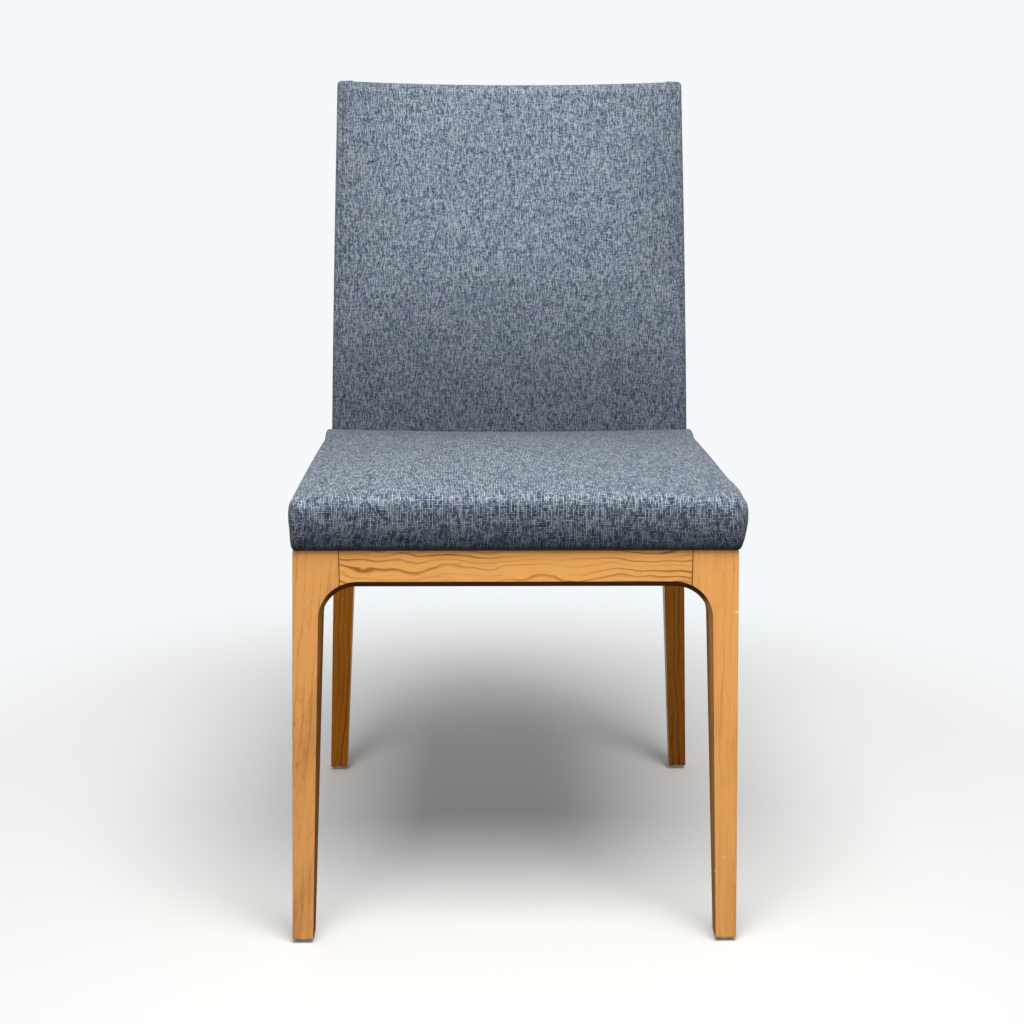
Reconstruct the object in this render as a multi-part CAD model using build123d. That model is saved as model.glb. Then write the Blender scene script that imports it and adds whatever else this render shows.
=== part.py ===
from build123d import *
import math
import os

# Sizes are in millimetres. X runs to the right as the chair is seen from the front, Y runs from the
# front legs to the back, Z is up. Depths are measured from the front faces of the front legs, and the
# finished pieces are moved so that the middle of the footprint is the origin.

# Seat frame
frame_top = 413.0
rail_thickness = 22.0
rail_height = 37.0
rail_face_height = 31.0
rail_reveal = 0.8
rear_rail_thickness = 18.0
rear_rail_setback = 2.0

# Front legs
front_frame_width = 430.0
front_leg_splay = 10.75
front_leg_head = 44.5
front_foot_size = 21.6
front_foot_face = 21.0
front_knee_size = 29.0
front_knee_face = 25.3
knee_radius = 34.5
knee_face_radius = 38.8
bevel_depth = 5.0
edge_radius = 1.2

# Rear legs, which run on as the posts of the back
frame_taper = 5.8
rear_leg_splay = 16.55
rear_foot_size = 20.5
rear_foot_depth = 21.5
rear_foot_place = 461.6
bend_height = 405.0
bend_place = 427.0
bend_depth = 34.0
bend_size = 27.0
post_top_height = 836.0
post_top_place = 492.0
post_top_depth = 20.0
post_lean_in = 10.8
post_top_size = 24.0
upright_height = 276.0

# Cross rails, panel and board of the back
back_rail_height = 50.0
back_rail_thickness = 18.0
back_lower_rail_bottom = 440.0
back_panel_thickness = 4.0
back_panel_bottom = 422.0
back_panel_margin = 1.0
back_board_thickness = 3.0
back_board_margin = 6.5

# Upholstery
cover_thickness = 1.2
soft_gap = 0.3
back_top_padding = 14.0
back_padding = 17.0
back_crown_low = 10.0
back_crown_middle = 8.0
back_crown_high = 3.0
back_top_dip = 4.0
back_top_front_radius = 9.0
back_top_rear_radius = 7.0
back_edge_radius = 6.0
seat_back_gap = 0.8
seat_side_overhang = 6.0
seat_rear_overhang = 3.8
seat_front_overhang = 5.5
seat_front_tuck = 1.0
seat_front_height = 464.0
seat_middle_height = 460.0
seat_rear_height = 452.0
seat_crown_front = 5.0
seat_crown_middle = 6.0
seat_crown_rear = -1.5
seat_shoulder_radius = 24.0
seat_side_radius = 11.0
seat_lower_radius = 9.0
seat_board_thickness = 10.0
seat_board_margin = 10.0
cover_flange = 36.0
dust_cover_thickness = 0.8
dust_cover_margin = 1.0

# Corner blocks
corner_block_height = 25.0
front_block_leg = 56.0
rear_block_leg = 85.0

# Dowels, screws, nails, staples and glides
joint_clearance = 0.1
dowel_radius = 4.0
dowel_length = 36.0
dowel_upper_drop = 9.0
dowel_lower_drop = 25.0
rear_dowel_length = 32.0
rear_dowel_depth = 14.0
back_dowel_length = 30.0
back_dowel_inset = 12.0
block_screw_head_radius = 3.6
block_screw_head_height = 2.4
block_screw_radius = 1.9
block_screw_length = 26.0
block_screw_reach = 12.0
block_screw_well = 40.0
front_block_screw_inset = 28.0
rear_block_side_screw_inset = 45.0
rear_block_rear_screw_inset = 24.0
seat_screw_head_radius = 4.2
seat_screw_head_height = 2.8
seat_screw_radius = 2.2
seat_screw_well = 6.0
seat_screw_bite = 7.0
front_seat_screw_offset = 9.0
rear_seat_screw_inset = 26.0
rear_seat_screw_offset = 10.0
panel_screw_head_radius = 3.4
panel_screw_head_height = 1.8
panel_screw_radius = 1.6
panel_screw_length = 18.0
panel_screw_count = 4
panel_screw_sink = 1.2
board_pin_head_radius = 2.4
board_pin_head_height = 0.8
board_pin_radius = 0.9
board_pin_length = 14.0
board_pin_count = 5
board_pin_sink = 0.8
post_fastener_shift = 4.0
staple_width = 10.0
staple_wire = 0.9
staple_leg = 7.0
staple_inset = 31.0
staple_end_margin = 10.0
front_staple_count = 6
side_staple_count = 7
glide_height = 5.0
glide_radius = 8.0
glide_foot_radius = 4.6
glide_rim_height = 1.6
glide_bulge_share = 0.62
nail_radius = 1.4
nail_head_radius = 2.8
nail_head_height = 1.0
nail_head_recess = 1.2
nail_length = 20.0

# Shares of the half width at which a padded form is drawn
form_stations = (-1, -0.5, 0, 0.5, 1)

# Share of the depth behind which a seat edge lies against the back
seat_rear_share = 0.9

# Reach of a tool that cuts right through the chair
through = 1200.0

# Places worked out from the sizes above
rail_under = frame_top - rail_height
rail_face_under = frame_top - rail_face_height
front_joint = front_frame_width / 2 - front_leg_head
front_foot_width = front_frame_width + 2 * front_leg_splay
bend_half_width = front_frame_width / 2 - frame_taper
rear_foot_width = 2 * (bend_half_width + rear_leg_splay)
post_top_half_width = bend_half_width - post_lean_in
back_height = post_top_height + back_top_padding
seat_front_width = front_frame_width + 2 * seat_side_overhang
seat_rear_width = 2 * (bend_half_width + seat_rear_overhang)
seat_bottom = frame_top + soft_gap
back_bottom = frame_top + soft_gap
seat_board_bottom = seat_bottom + cover_thickness + soft_gap
seat_board_top = seat_board_bottom + seat_board_thickness
cloth_room = cover_thickness + soft_gap
rear_rail_front = bend_place + bend_depth - rear_rail_setback - rear_rail_thickness
dowel_heights = [frame_top - dowel_upper_drop, frame_top - dowel_lower_drop]


def between(start, end, share):
    return start + (end - start) * share


def arc_depth(height, bend_value, top_value):
    # Depth of a circular arc that is upright at upright_height and passes the bend and the post top
    low = bend_height - upright_height
    high = post_top_height - upright_height
    run = top_value - bend_value
    reach = ((high**2 - low**2) / run + run) / 2
    radius = math.hypot(reach, low)
    return bend_value + reach - math.sqrt(radius**2 - (height - upright_height) ** 2)


def post_front(height):
    return arc_depth(height, bend_place, post_top_place)


def post_rear(height):
    return arc_depth(height, bend_place + bend_depth, post_top_place + post_top_depth)


def post_half_width(height):
    share = (height - bend_height) / (post_top_height - bend_height)
    return between(bend_half_width, post_top_half_width, share)


def post_size(height):
    share = (height - bend_height) / (post_top_height - bend_height)
    return between(bend_size, post_top_size, share)


def front_leg_outer(height):
    share = (frame_top - height) / (frame_top - glide_height)
    return between(front_frame_width, front_foot_width, share) / 2


def side_rail_outer(depth):
    front = front_frame_width / 2 - rail_reveal
    rear = bend_half_width - rail_reveal
    return between(front, rear, depth / bend_place)


def back_half_width(height):
    return post_half_width(height) + cloth_room


def seat_half_width(depth):
    return between(seat_front_width, seat_rear_width, depth / bend_place) / 2


def back_crown(height):
    middle = (back_bottom + back_height) / 2
    if height < middle:
        return between(back_crown_low, back_crown_middle, (height - back_bottom) / (middle - back_bottom))
    return between(back_crown_middle, back_crown_high, (height - middle) / (back_height - middle))


def back_face(height, share):
    # Depth of the back's cloth face, for share -1 to 1 of the half width
    return post_front(height) - back_padding - back_crown(height) * (1 - share**2)


def side_outline(edges):
    return Plane.YZ * make_face(edges)


def across(face, half):
    return extrude(face, amount=half, dir=(1, 0, 0), both=True)


def front_prism(points):
    face = Plane.XZ * make_face(Polyline(*points, close=True))
    return extrude(face, amount=through, dir=(0, 1, 0), both=True)


def plan_prism(points, low, high):
    face = Plane.XY.offset(low) * make_face(Polyline(*points, close=True))
    return extrude(face, amount=high - low, dir=(0, 0, 1))


def block(low, high):
    size = [end - start for start, end in zip(low, high)]
    centre = [(start + end) / 2 for start, end in zip(low, high)]
    return Pos(*centre) * Box(*size)


def rod(radius, length, start, direction):
    return Plane(start, z_dir=direction) * Cylinder(
        radius, length, align=(Align.CENTER, Align.CENTER, Align.MIN)
    )


def headed_pin(start, direction, head_radius, head_height, radius, length):
    head = rod(head_radius, head_height, start, direction)
    return head + rod(radius, length, start, direction)


def headed_hole(start, direction, head_radius, head_height, radius, length, well):
    # Room for a headed pin, with a well in front of its head
    way = Vector(*direction)
    mouth = Vector(*start) - way * well
    wide = rod(head_radius + joint_clearance, well + head_height + joint_clearance, mouth, direction)
    return wide + rod(radius + joint_clearance, length + joint_clearance, start, direction)


def both_sides(piece):
    return [mirror(piece, about=Plane.YZ), piece]


def two_sided(pieces):
    return [copy for piece in pieces for copy in both_sides(piece)]


def drill(piece, tools):
    for tool in tools:
        piece = piece - tool
    return piece


# Front legs and front rail
def arch_outline(depth, foot, knee, under, radius):
    # Both front legs and the rail between them, seen from the front
    foot_x = front_foot_width / 2 - foot
    knee_x = front_leg_outer(under) - knee
    right = [
        (front_frame_width / 2, frame_top),
        (front_foot_width / 2, glide_height),
        (foot_x, glide_height),
        (knee_x, under),
    ]
    left = [(-x, z) for x, z in reversed(right)]
    face = make_face(Polyline(*right, *left, close=True))
    knees = [corner for corner in face.vertices() if abs(abs(corner.X) - knee_x) < joint_clearance]
    return Plane.XZ.offset(-depth) * fillet(knees, radius)


def front_arch():
    face = arch_outline(0, front_foot_face, front_knee_face, rail_face_under, knee_face_radius)
    body = arch_outline(bevel_depth, front_foot_size, front_knee_size, rail_under, knee_radius)
    bevel = loft([face, body], ruled=True)
    return bevel + extrude(body, amount=front_leg_head - bevel_depth, dir=(0, 1, 0))


def side_arch():
    # A front leg and the start of a side rail, seen from the side
    points = [
        (0, frame_top),
        (bend_place + bend_depth, frame_top),
        (bend_place + bend_depth, rail_under),
        (front_knee_size, rail_under),
        (front_foot_size, glide_height),
        (0, glide_height),
    ]
    face = make_face(Polyline(*points, close=True))
    knee = [corner for corner in face.vertices() if abs(corner.X - front_knee_size) < joint_clearance]
    return across(Plane.YZ * fillet(knee, knee_radius), through)


def front_leg_blank(arch, side):
    head = block((front_joint, 0, 0), (front_foot_width, front_leg_head, frame_top))
    leg = arch & side & head
    arrises = [
        edge
        for edge in leg.edges().filter_by(GeomType.LINE)
        if edge.length > rail_height and edge.center().X > front_leg_outer(edge.center().Z) - edge_radius
    ]
    return fillet(arrises, edge_radius)


def front_rail_blank(arch):
    return arch & block((-front_joint, 0, 0), (front_joint, rail_thickness, frame_top))


# Rear legs with the posts of the back
def rear_leg_shape(grow):
    low = glide_height - grow
    high = post_top_height + grow
    middle = (bend_height + post_top_height) / 2
    foot_front = (rear_foot_place - grow, low)
    foot_rear = (rear_foot_place + rear_foot_depth + grow, low)
    front = [(post_front(z) - grow, z) for z in (bend_height, middle, high)]
    rear = [(post_rear(z) + grow, z) for z in (bend_height, middle, high)]
    profile = [
        Line(foot_front, front[0]),
        ThreePointArc(*front),
        Line(front[2], rear[2]),
        ThreePointArc(rear[2], rear[1], rear[0]),
        Line(rear[0], foot_rear),
        Line(foot_rear, foot_front),
    ]
    outer = [
        (rear_foot_width / 2 + grow, low),
        (bend_half_width + grow, bend_height),
        (post_half_width(high) + grow, high),
    ]
    inner = [
        (post_half_width(high) - post_size(high) - grow, high),
        (bend_half_width - bend_size - grow, bend_height),
        (rear_foot_width / 2 - rear_foot_size - grow, low),
    ]
    return across(side_outline(profile), through) & front_prism(outer + inner)


def rear_leg_blank():
    # The leg below the bend has rounded arrises, and the post above it is square under the cloth
    leg = rear_leg_shape(0)
    below = block((-through, -through, 0), (through, through, bend_height))
    lower = leg & below
    arrises = [edge for edge in lower.edges() if edge.length > bend_height / 2]
    return fillet(arrises, edge_radius) + (leg - below)


# Other rails of the seat frame
def side_rail_blank(side, front_leg):
    start = front_leg_head
    end = bend_place + bend_depth / 2
    outer = [(side_rail_outer(start), start), (side_rail_outer(end), end)]
    inner = [(x - rail_thickness, y) for x, y in reversed(outer)]
    return (plan_prism(outer + inner, rail_under, frame_top) & side) - rear_leg_shape(0) - front_leg


def rear_rail_blank(rear_leg):
    half = bend_half_width - bend_size / 2
    rear = rear_rail_front + rear_rail_thickness
    rail = block((-half, rear_rail_front, rail_under), (half, rear, frame_top))
    for leg in both_sides(rear_leg):
        rail = rail - leg
    return rail


# Corner blocks
def front_corner_block():
    inner = side_rail_outer(front_leg_head) - rail_thickness
    far = front_leg_head + front_block_leg
    points = [
        (front_joint, rail_thickness),
        (front_joint - front_block_leg, rail_thickness),
        (side_rail_outer(far) - rail_thickness, far),
        (inner, front_leg_head),
        (front_joint, front_leg_head),
    ]
    return plan_prism(points, frame_top - corner_block_height, frame_top)


def rear_corner_block(rear_leg):
    corner_y = rear_rail_front
    corner_x = side_rail_outer(corner_y) - rail_thickness
    near = corner_y - rear_block_leg
    points = [
        (side_rail_outer(near) - rail_thickness, near),
        (corner_x, corner_y),
        (corner_x - rear_block_leg, corner_y),
    ]
    return plan_prism(points, frame_top - corner_block_height, frame_top) - rear_leg


def block_screw_places():
    # Start and direction of the screws that hold the right-hand blocks to the rails
    height = frame_top - corner_block_height / 2
    stand = block_screw_length - block_screw_reach
    front_x = front_joint - front_block_screw_inset
    front_y = front_leg_head + front_block_screw_inset
    low_y = rear_rail_front - rear_block_leg + rear_block_side_screw_inset
    corner_x = side_rail_outer(rear_rail_front) - rail_thickness
    rear_x = corner_x - rear_block_leg + rear_block_rear_screw_inset
    front_face = side_rail_outer(front_y) - rail_thickness
    low_face = side_rail_outer(low_y) - rail_thickness
    return [
        ((front_x, rail_thickness + stand, height), (0, -1, 0)),
        ((front_face - stand, front_y, height), (1, 0, 0)),
        ((low_face - stand, low_y, height), (1, 0, 0)),
        ((rear_x, rear_rail_front - stand, height), (0, 1, 0)),
    ]


block_screw_sizes = (block_screw_head_radius, block_screw_head_height, block_screw_radius, block_screw_length)


def block_screws():
    return [headed_pin(*place, *block_screw_sizes) for place in block_screw_places()]


def block_screw_holes():
    return [headed_hole(*place, *block_screw_sizes, block_screw_well) for place in block_screw_places()]


# Seat screws, driven up through the corner blocks
seat_screw_start = frame_top - corner_block_height + seat_screw_well
seat_screw_length = seat_board_bottom + seat_screw_bite - seat_screw_start
seat_screw_sizes = (seat_screw_head_radius, seat_screw_head_height, seat_screw_radius, seat_screw_length)


def seat_screw_places():
    front = (front_joint - front_seat_screw_offset, front_leg_head + front_seat_screw_offset)
    rear_y = rear_rail_front - rear_block_leg + rear_seat_screw_inset
    rear = (side_rail_outer(rear_y) - rail_thickness - rear_seat_screw_offset, rear_y)
    return [((x, y, seat_screw_start), (0, 0, 1)) for x, y in (front, rear)]


def seat_screws():
    return [headed_pin(*place, *seat_screw_sizes) for place in seat_screw_places()]


def seat_screw_holes():
    return [headed_hole(*place, *seat_screw_sizes, corner_block_height) for place in seat_screw_places()]


# Dowels
def dowel(start, direction, length, play):
    return rod(dowel_radius + play, length + 2 * play, Vector(*start) - Vector(*direction) * play, direction)


def front_rail_dowels(play):
    start = front_joint - dowel_length / 2
    depth = rail_thickness / 2
    return [dowel((start, depth, z), (1, 0, 0), dowel_length, play) for z in dowel_heights]


def side_rail_dowels(play):
    front_x = side_rail_outer(front_leg_head) - rail_thickness / 2
    rear_x = side_rail_outer(bend_place) - rail_thickness / 2
    front_start = front_leg_head - dowel_length / 2
    rear_start = bend_place + rear_dowel_depth - rear_dowel_length
    front = [dowel((front_x, front_start, z), (0, 1, 0), dowel_length, play) for z in dowel_heights]
    rear = [dowel((rear_x, rear_start, z), (0, 1, 0), rear_dowel_length, play) for z in dowel_heights]
    return front + rear


def rear_rail_dowels(play):
    start = bend_half_width - bend_size + rear_dowel_depth - rear_dowel_length
    depth = rear_rail_front + rear_rail_thickness / 2
    return [dowel((start, depth, z), (1, 0, 0), rear_dowel_length, play) for z in dowel_heights]


def back_rail_spans():
    top = (post_top_height - back_rail_height, post_top_height)
    lower = (back_lower_rail_bottom, back_lower_rail_bottom + back_rail_height)
    return top, lower


def back_rail_dowels(span, play):
    dowels = []
    for z in (span[0] + back_dowel_inset, span[1] - back_dowel_inset):
        start = post_half_width(z) - post_size(z) - back_dowel_length / 2
        depth = post_front(z) + back_rail_thickness / 2
        dowels.append(dowel((start, depth, z), (1, 0, 0), back_dowel_length, play))
    return dowels


# Cross rails, panel and board of the back
def back_slab(low, high, line, front_shift, rear_shift):
    # A sheet between two equal arcs, shifted along the depth, as wide as the posts
    heights = (low, (low + high) / 2, high)
    front = [(line(z) + front_shift, z) for z in heights]
    rear = [(line(z) + rear_shift, z) for z in heights]
    edges = [
        ThreePointArc(*front),
        Line(front[2], rear[2]),
        ThreePointArc(rear[2], rear[1], rear[0]),
        Line(rear[0], front[0]),
    ]
    return across(side_outline(edges), through)


def between_posts(low, high):
    right = [(post_half_width(z) - post_size(z), z) for z in (low, high)]
    left = [(-x, z) for x, z in reversed(right)]
    return front_prism(right + left)


def over_posts(low, high, margin):
    right = [(post_half_width(z) - margin, z) for z in (low, high)]
    left = [(-x, z) for x, z in reversed(right)]
    return front_prism(right + left)


def back_rail_blank(span):
    return back_slab(*span, post_front, 0, back_rail_thickness) & between_posts(*span)


def back_panel_blank():
    slab = back_slab(back_panel_bottom, post_top_height, post_front, -back_panel_thickness, 0)
    return slab & over_posts(back_panel_bottom, post_top_height, back_panel_margin)


def back_rear_board_blank():
    slab = back_slab(back_panel_bottom, post_top_height, post_rear, 0, back_board_thickness)
    return slab & over_posts(back_panel_bottom, post_top_height, back_board_margin)


def spread(low, high, count):
    return [between(low, high, index / (count - 1)) for index in range(count)]


def post_middle(height):
    return post_half_width(height) - post_size(height) / 2


panel_screw_sizes = (
    panel_screw_head_radius,
    panel_screw_head_height,
    panel_screw_radius,
    panel_screw_length,
)
board_pin_sizes = (board_pin_head_radius, board_pin_head_height, board_pin_radius, board_pin_length)


def post_fastener_heights(count):
    # From the middle of the lower rail to the middle of the top rail, between their dowels
    top, lower = back_rail_spans()
    return spread(sum(lower) / 2, sum(top) / 2, count)


def panel_screw_places():
    places = []
    for z in post_fastener_heights(panel_screw_count):
        depth = post_front(z) - back_panel_thickness + panel_screw_sink
        places.append(((post_middle(z) - post_fastener_shift, depth, z), (0, 1, 0)))
    return places


def board_pin_places():
    places = []
    for z in post_fastener_heights(board_pin_count):
        depth = post_rear(z) + back_board_thickness - board_pin_sink
        places.append(((post_middle(z) + post_fastener_shift, depth, z), (0, -1, 0)))
    return places


def panel_screws():
    return [headed_pin(*place, *panel_screw_sizes) for place in panel_screw_places()]


def panel_screw_holes():
    return [headed_hole(*place, *panel_screw_sizes, back_panel_thickness) for place in panel_screw_places()]


def board_pins():
    return [headed_pin(*place, *board_pin_sizes) for place in board_pin_places()]


def board_pin_holes():
    return [headed_hole(*place, *board_pin_sizes, back_board_thickness) for place in board_pin_places()]


# Upholstery of the back
def back_section(share, inset):
    # Side outline of the padded back at a share of its half width
    top = back_height - back_top_dip * (1 - share**2) - inset
    low = back_bottom + inset
    heights = (low, (low + top) / 2, top)
    skin = back_board_thickness + cloth_room - inset
    front = [(back_face(z, share) + inset, z - back_bottom) for z in heights]
    rear = [(post_rear(z) + skin, z - back_bottom) for z in heights]
    edges = [
        ThreePointArc(*front),
        Line(front[2], rear[2]),
        ThreePointArc(rear[2], rear[1], rear[0]),
        Line(rear[0], front[0]),
    ]
    face = make_face(edges)
    for corner, radius in ((front[2], back_top_front_radius), (rear[2], back_top_rear_radius)):
        nearest = face.vertices().sort_by_distance((*corner, 0))[0]
        face = fillet(nearest, radius - inset)
    return face


def side_cap_edges(form):
    # Edges round the two flat ends of a padded form, without those on its lower face
    low = form.bounding_box().min.Z
    caps = form.faces().sort_by(Axis.X)
    edges = caps[0].edges() + caps[-1].edges()
    return [edge for edge in edges if edge.center().Z > low + soft_gap]


def back_form(inset):
    sections = []
    for share in form_stations:
        low = back_half_width(back_bottom) * share - math.copysign(inset, share) * abs(share)
        lean = (back_half_width(back_height) - back_half_width(back_bottom)) * share
        normal = (back_height - back_bottom, 0, -lean)
        plane = Plane((low, 0, back_bottom), x_dir=(0, 1, 0), z_dir=normal)
        sections.append(plane * back_section(share, inset))
    form = loft(sections)
    return fillet(side_cap_edges(form), back_edge_radius - inset)


def back_core():
    # The space behind the front pad and under the top pad
    low = back_bottom - cover_flange
    high = post_top_height + soft_gap
    return back_slab(low, high, post_front, -back_panel_thickness - soft_gap, through)


def back_cover():
    cover = back_form(0) - back_form(cover_thickness)
    for leg in both_sides(rear_leg_shape(soft_gap)):
        cover = cover - leg
    return cover


def back_foam():
    return back_form(cloth_room) - back_core()


# Upholstery of the seat
def seat_section(share, inset):
    # Side outline of the seat pad at a share of its half width
    arch = 1 - share**2
    low = seat_bottom + inset
    front_top = seat_front_height + seat_crown_front * arch - inset
    middle_top = seat_middle_height + seat_crown_middle * arch - inset
    rear_top = seat_rear_height + seat_crown_rear * arch - inset
    front = inset - seat_front_overhang
    tuck = inset - seat_front_tuck
    back_gap = seat_back_gap + inset
    rear_low = (back_face(low, share) - back_gap, low)
    rear_high = (back_face(rear_top, share) - back_gap, rear_top)
    corner = (tuck, front_top)
    edges = [
        Line(rear_low, (tuck, low)),
        ThreePointArc((tuck, low), (front, (low + front_top) / 2), corner),
        ThreePointArc(corner, (rear_high[0] / 2, middle_top), rear_high),
        Line(rear_high, rear_low),
    ]
    face = make_face(edges)
    nearest = face.vertices().sort_by_distance((*corner, 0))[0]
    return fillet(nearest, seat_shoulder_radius - inset)


def seat_form(inset):
    sections = []
    half = seat_front_width / 2 - inset
    for share in form_stations:
        draw = (seat_rear_width - seat_front_width) / 2 * share
        plane = Plane((half * share, 0, 0), x_dir=(draw, bend_place, 0), z_dir=(bend_place, -draw, 0))
        sections.append(plane * seat_section(share, inset))
    form = loft(sections)
    upper = [edge for edge in side_cap_edges(form) if edge.center().Y < bend_place * seat_rear_share]
    form = fillet(upper, seat_side_radius - inset)
    lower = form.faces().sort_by(Axis.Z)[0].edges()
    front_and_sides = lower.sort_by(Axis.Y)[:-1]
    return fillet(front_and_sides, seat_lower_radius - inset)


def seat_plan(margin, low, high):
    # The seat's outline from above, drawn in by a margin, with its rear edge along the back
    front = margin - seat_front_overhang
    middle = back_face(seat_bottom, 0) - seat_back_gap - margin
    corner = back_face(seat_bottom, 1) - seat_back_gap - margin
    front_half = seat_half_width(front) - margin
    rear_half = seat_half_width(corner) - margin
    edges = [
        Line((-front_half, front), (front_half, front)),
        Line((front_half, front), (rear_half, corner)),
        ThreePointArc((rear_half, corner), (0, middle), (-rear_half, corner)),
        Line((-rear_half, corner), (-front_half, front)),
    ]
    return extrude(Plane.XY.offset(low) * make_face(edges), amount=high - low, dir=(0, 0, 1))


def staple(place, along, play):
    # A crown under the cloth and two legs up into the board
    x, y = place
    wide, thin = staple_width / 2 + play, staple_wire / 2 + play
    reach = {"x": (wide, thin), "y": (thin, wide)}[along]
    low, high = seat_bottom - staple_wire, seat_bottom + staple_leg + play
    crown = block((x - reach[0], y - reach[1], low), (x + reach[0], y + reach[1], seat_bottom))
    for end in (-1, 1):
        shift = end * (staple_width - staple_wire) / 2
        leg_x = x + shift if along == "x" else x
        leg_y = y + shift if along == "y" else y
        crown = crown + block((leg_x - thin, leg_y - thin, low), (leg_x + thin, leg_y + thin, high))
    return crown


def staples(play):
    reach = front_joint - front_block_leg - staple_end_margin
    front_y = staple_inset - seat_front_overhang
    side_low = front_leg_head + front_block_leg + staple_end_margin
    side_high = rear_rail_front - rear_block_leg - staple_end_margin
    row = []
    for x in spread(-reach, reach, front_staple_count):
        rear_edge = back_face(seat_bottom, x / seat_half_width(bend_place)) - seat_back_gap
        row.append(staple((x, front_y), "x", play))
        row.append(staple((x, rear_edge - staple_inset), "x", play))
    for y in spread(side_low, side_high, side_staple_count):
        x = seat_half_width(y) - staple_inset
        row.append(staple((x, y), "y", play))
        row.append(staple((-x, y), "y", play))
    return row


def seat_cover():
    cover = seat_form(0) - seat_form(cover_thickness)
    cover = cover - seat_plan(cover_flange, seat_bottom - soft_gap, seat_board_bottom)
    return drill(cover, staples(joint_clearance) + two_sided(seat_screw_holes()))


def seat_board():
    board = seat_plan(seat_board_margin, seat_board_bottom, seat_board_top)
    return drill(board, staples(joint_clearance) + two_sided(seat_screw_holes()))


def seat_foam():
    room = seat_plan(seat_board_margin - soft_gap, frame_top, seat_board_top + soft_gap)
    return seat_form(cloth_room) - room


def seat_dust_cover():
    top = seat_board_bottom - joint_clearance
    sheet = seat_plan(cover_flange + dust_cover_margin, top - dust_cover_thickness, top)
    return drill(sheet, two_sided(seat_screw_holes()))


# Glides
def foot_places():
    front = front_foot_size / 2
    rear_x = rear_foot_width / 2 - rear_foot_size / 2
    rear_y = rear_foot_place + rear_foot_depth / 2
    return {"front": (front_foot_width / 2 - front, front), "rear": (rear_x, rear_y)}


nail_sizes = (nail_head_radius, nail_head_height, nail_radius, nail_length)


def nail_place(end):
    return (*foot_places()[end], nail_head_recess), (0, 0, 1)


def glide(end):
    waist = glide_height - glide_rim_height
    bulge = (between(glide_foot_radius, glide_radius, glide_bulge_share), waist / 2)
    edges = [
        Line((0, 0), (glide_foot_radius, 0)),
        ThreePointArc((glide_foot_radius, 0), bulge, (glide_radius, waist)),
        Line((glide_radius, waist), (glide_radius, glide_height)),
        Line((glide_radius, glide_height), (0, glide_height)),
        Line((0, glide_height), (0, 0)),
    ]
    body = revolve(Plane.XZ * make_face(edges), Axis.Z)
    nail_hole = headed_hole(*nail_place(end), *nail_sizes, glide_height)
    return Pos(*foot_places()[end], 0) * body - nail_hole


def nails():
    return [headed_pin(*nail_place(end), *nail_sizes) for end in ("front", "rear")]


def nail_holes():
    return [headed_hole(*nail_place(end), *nail_sizes, glide_height) for end in ("front", "rear")]


def pair(name, piece):
    left, right = both_sides(piece)
    return {name + "_left": left, name + "_right": right}


def group(pieces):
    return Compound(children=two_sided(pieces))


def seat_frame(arch, side):
    play = joint_clearance
    front_leg = front_leg_blank(arch, side)
    rear_leg = rear_leg_blank()
    side_tools = side_rail_dowels(play) + block_screw_holes()
    top_rail, lower_rail = back_rail_spans()
    post_tools = back_rail_dowels(top_rail, play) + back_rail_dowels(lower_rail, play)
    post_tools = post_tools + panel_screw_holes() + board_pin_holes()
    block_tools = block_screw_holes() + seat_screw_holes()
    front_rail_tools = front_rail_dowels(play) + block_screw_holes()
    rear_rail_tools = rear_rail_dowels(play) + block_screw_holes()
    side_rail = side_rail_blank(side, front_leg)
    nodes = {
        "front_rail": drill(front_rail_blank(arch), two_sided(front_rail_tools)),
        "rear_rail": drill(rear_rail_blank(rear_leg), two_sided(rear_rail_tools)),
    }
    front_leg_tools = front_rail_dowels(play) + side_rail_dowels(play) + nail_holes()
    rear_leg_tools = rear_rail_dowels(play) + side_rail_dowels(play) + post_tools + nail_holes()
    nodes.update(pair("front_leg", drill(front_leg, front_leg_tools)))
    nodes.update(pair("rear_leg", drill(rear_leg, rear_leg_tools)))
    nodes.update(pair("side_rail", drill(side_rail, side_tools)))
    nodes.update(pair("corner_block_front", drill(front_corner_block(), block_tools)))
    nodes.update(pair("corner_block_rear", drill(rear_corner_block(rear_leg), block_tools)))
    return nodes


def fasteners():
    top_rail, lower_rail = back_rail_spans()
    side_dowels = side_rail_dowels(0)
    left_dowels = [mirror(piece, about=Plane.YZ) for piece in side_dowels]
    return {
        "front_rail_dowels": group(front_rail_dowels(0)),
        "rear_rail_dowels": group(rear_rail_dowels(0)),
        "side_rail_left_dowels": Compound(children=left_dowels),
        "side_rail_right_dowels": Compound(children=side_dowels),
        "back_top_rail_dowels": group(back_rail_dowels(top_rail, 0)),
        "back_lower_rail_dowels": group(back_rail_dowels(lower_rail, 0)),
        "corner_block_screws": group(block_screws()),
        "seat_screws": group(seat_screws()),
        "seat_cover_staples": Compound(children=staples(0)),
        "back_panel_screws": group(panel_screws()),
        "back_board_pins": group(board_pins()),
        "glide_nails": group(nails()),
    }


def back_pieces():
    top_rail, lower_rail = back_rail_spans()
    play = joint_clearance
    top_tools = two_sided(back_rail_dowels(top_rail, play))
    lower_tools = two_sided(back_rail_dowels(lower_rail, play))
    return {
        "back_top_rail": drill(back_rail_blank(top_rail), top_tools),
        "back_lower_rail": drill(back_rail_blank(lower_rail), lower_tools),
        "back_panel": drill(back_panel_blank(), two_sided(panel_screw_holes())),
        "back_rear_board": drill(back_rear_board_blank(), two_sided(board_pin_holes())),
        "back_foam": back_foam(),
        "back_cover": back_cover(),
    }


def seat_pieces():
    return {
        "seat_board": seat_board(),
        "seat_foam": seat_foam(),
        "seat_cover": seat_cover(),
        "seat_dust_cover": seat_dust_cover(),
    }


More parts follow.
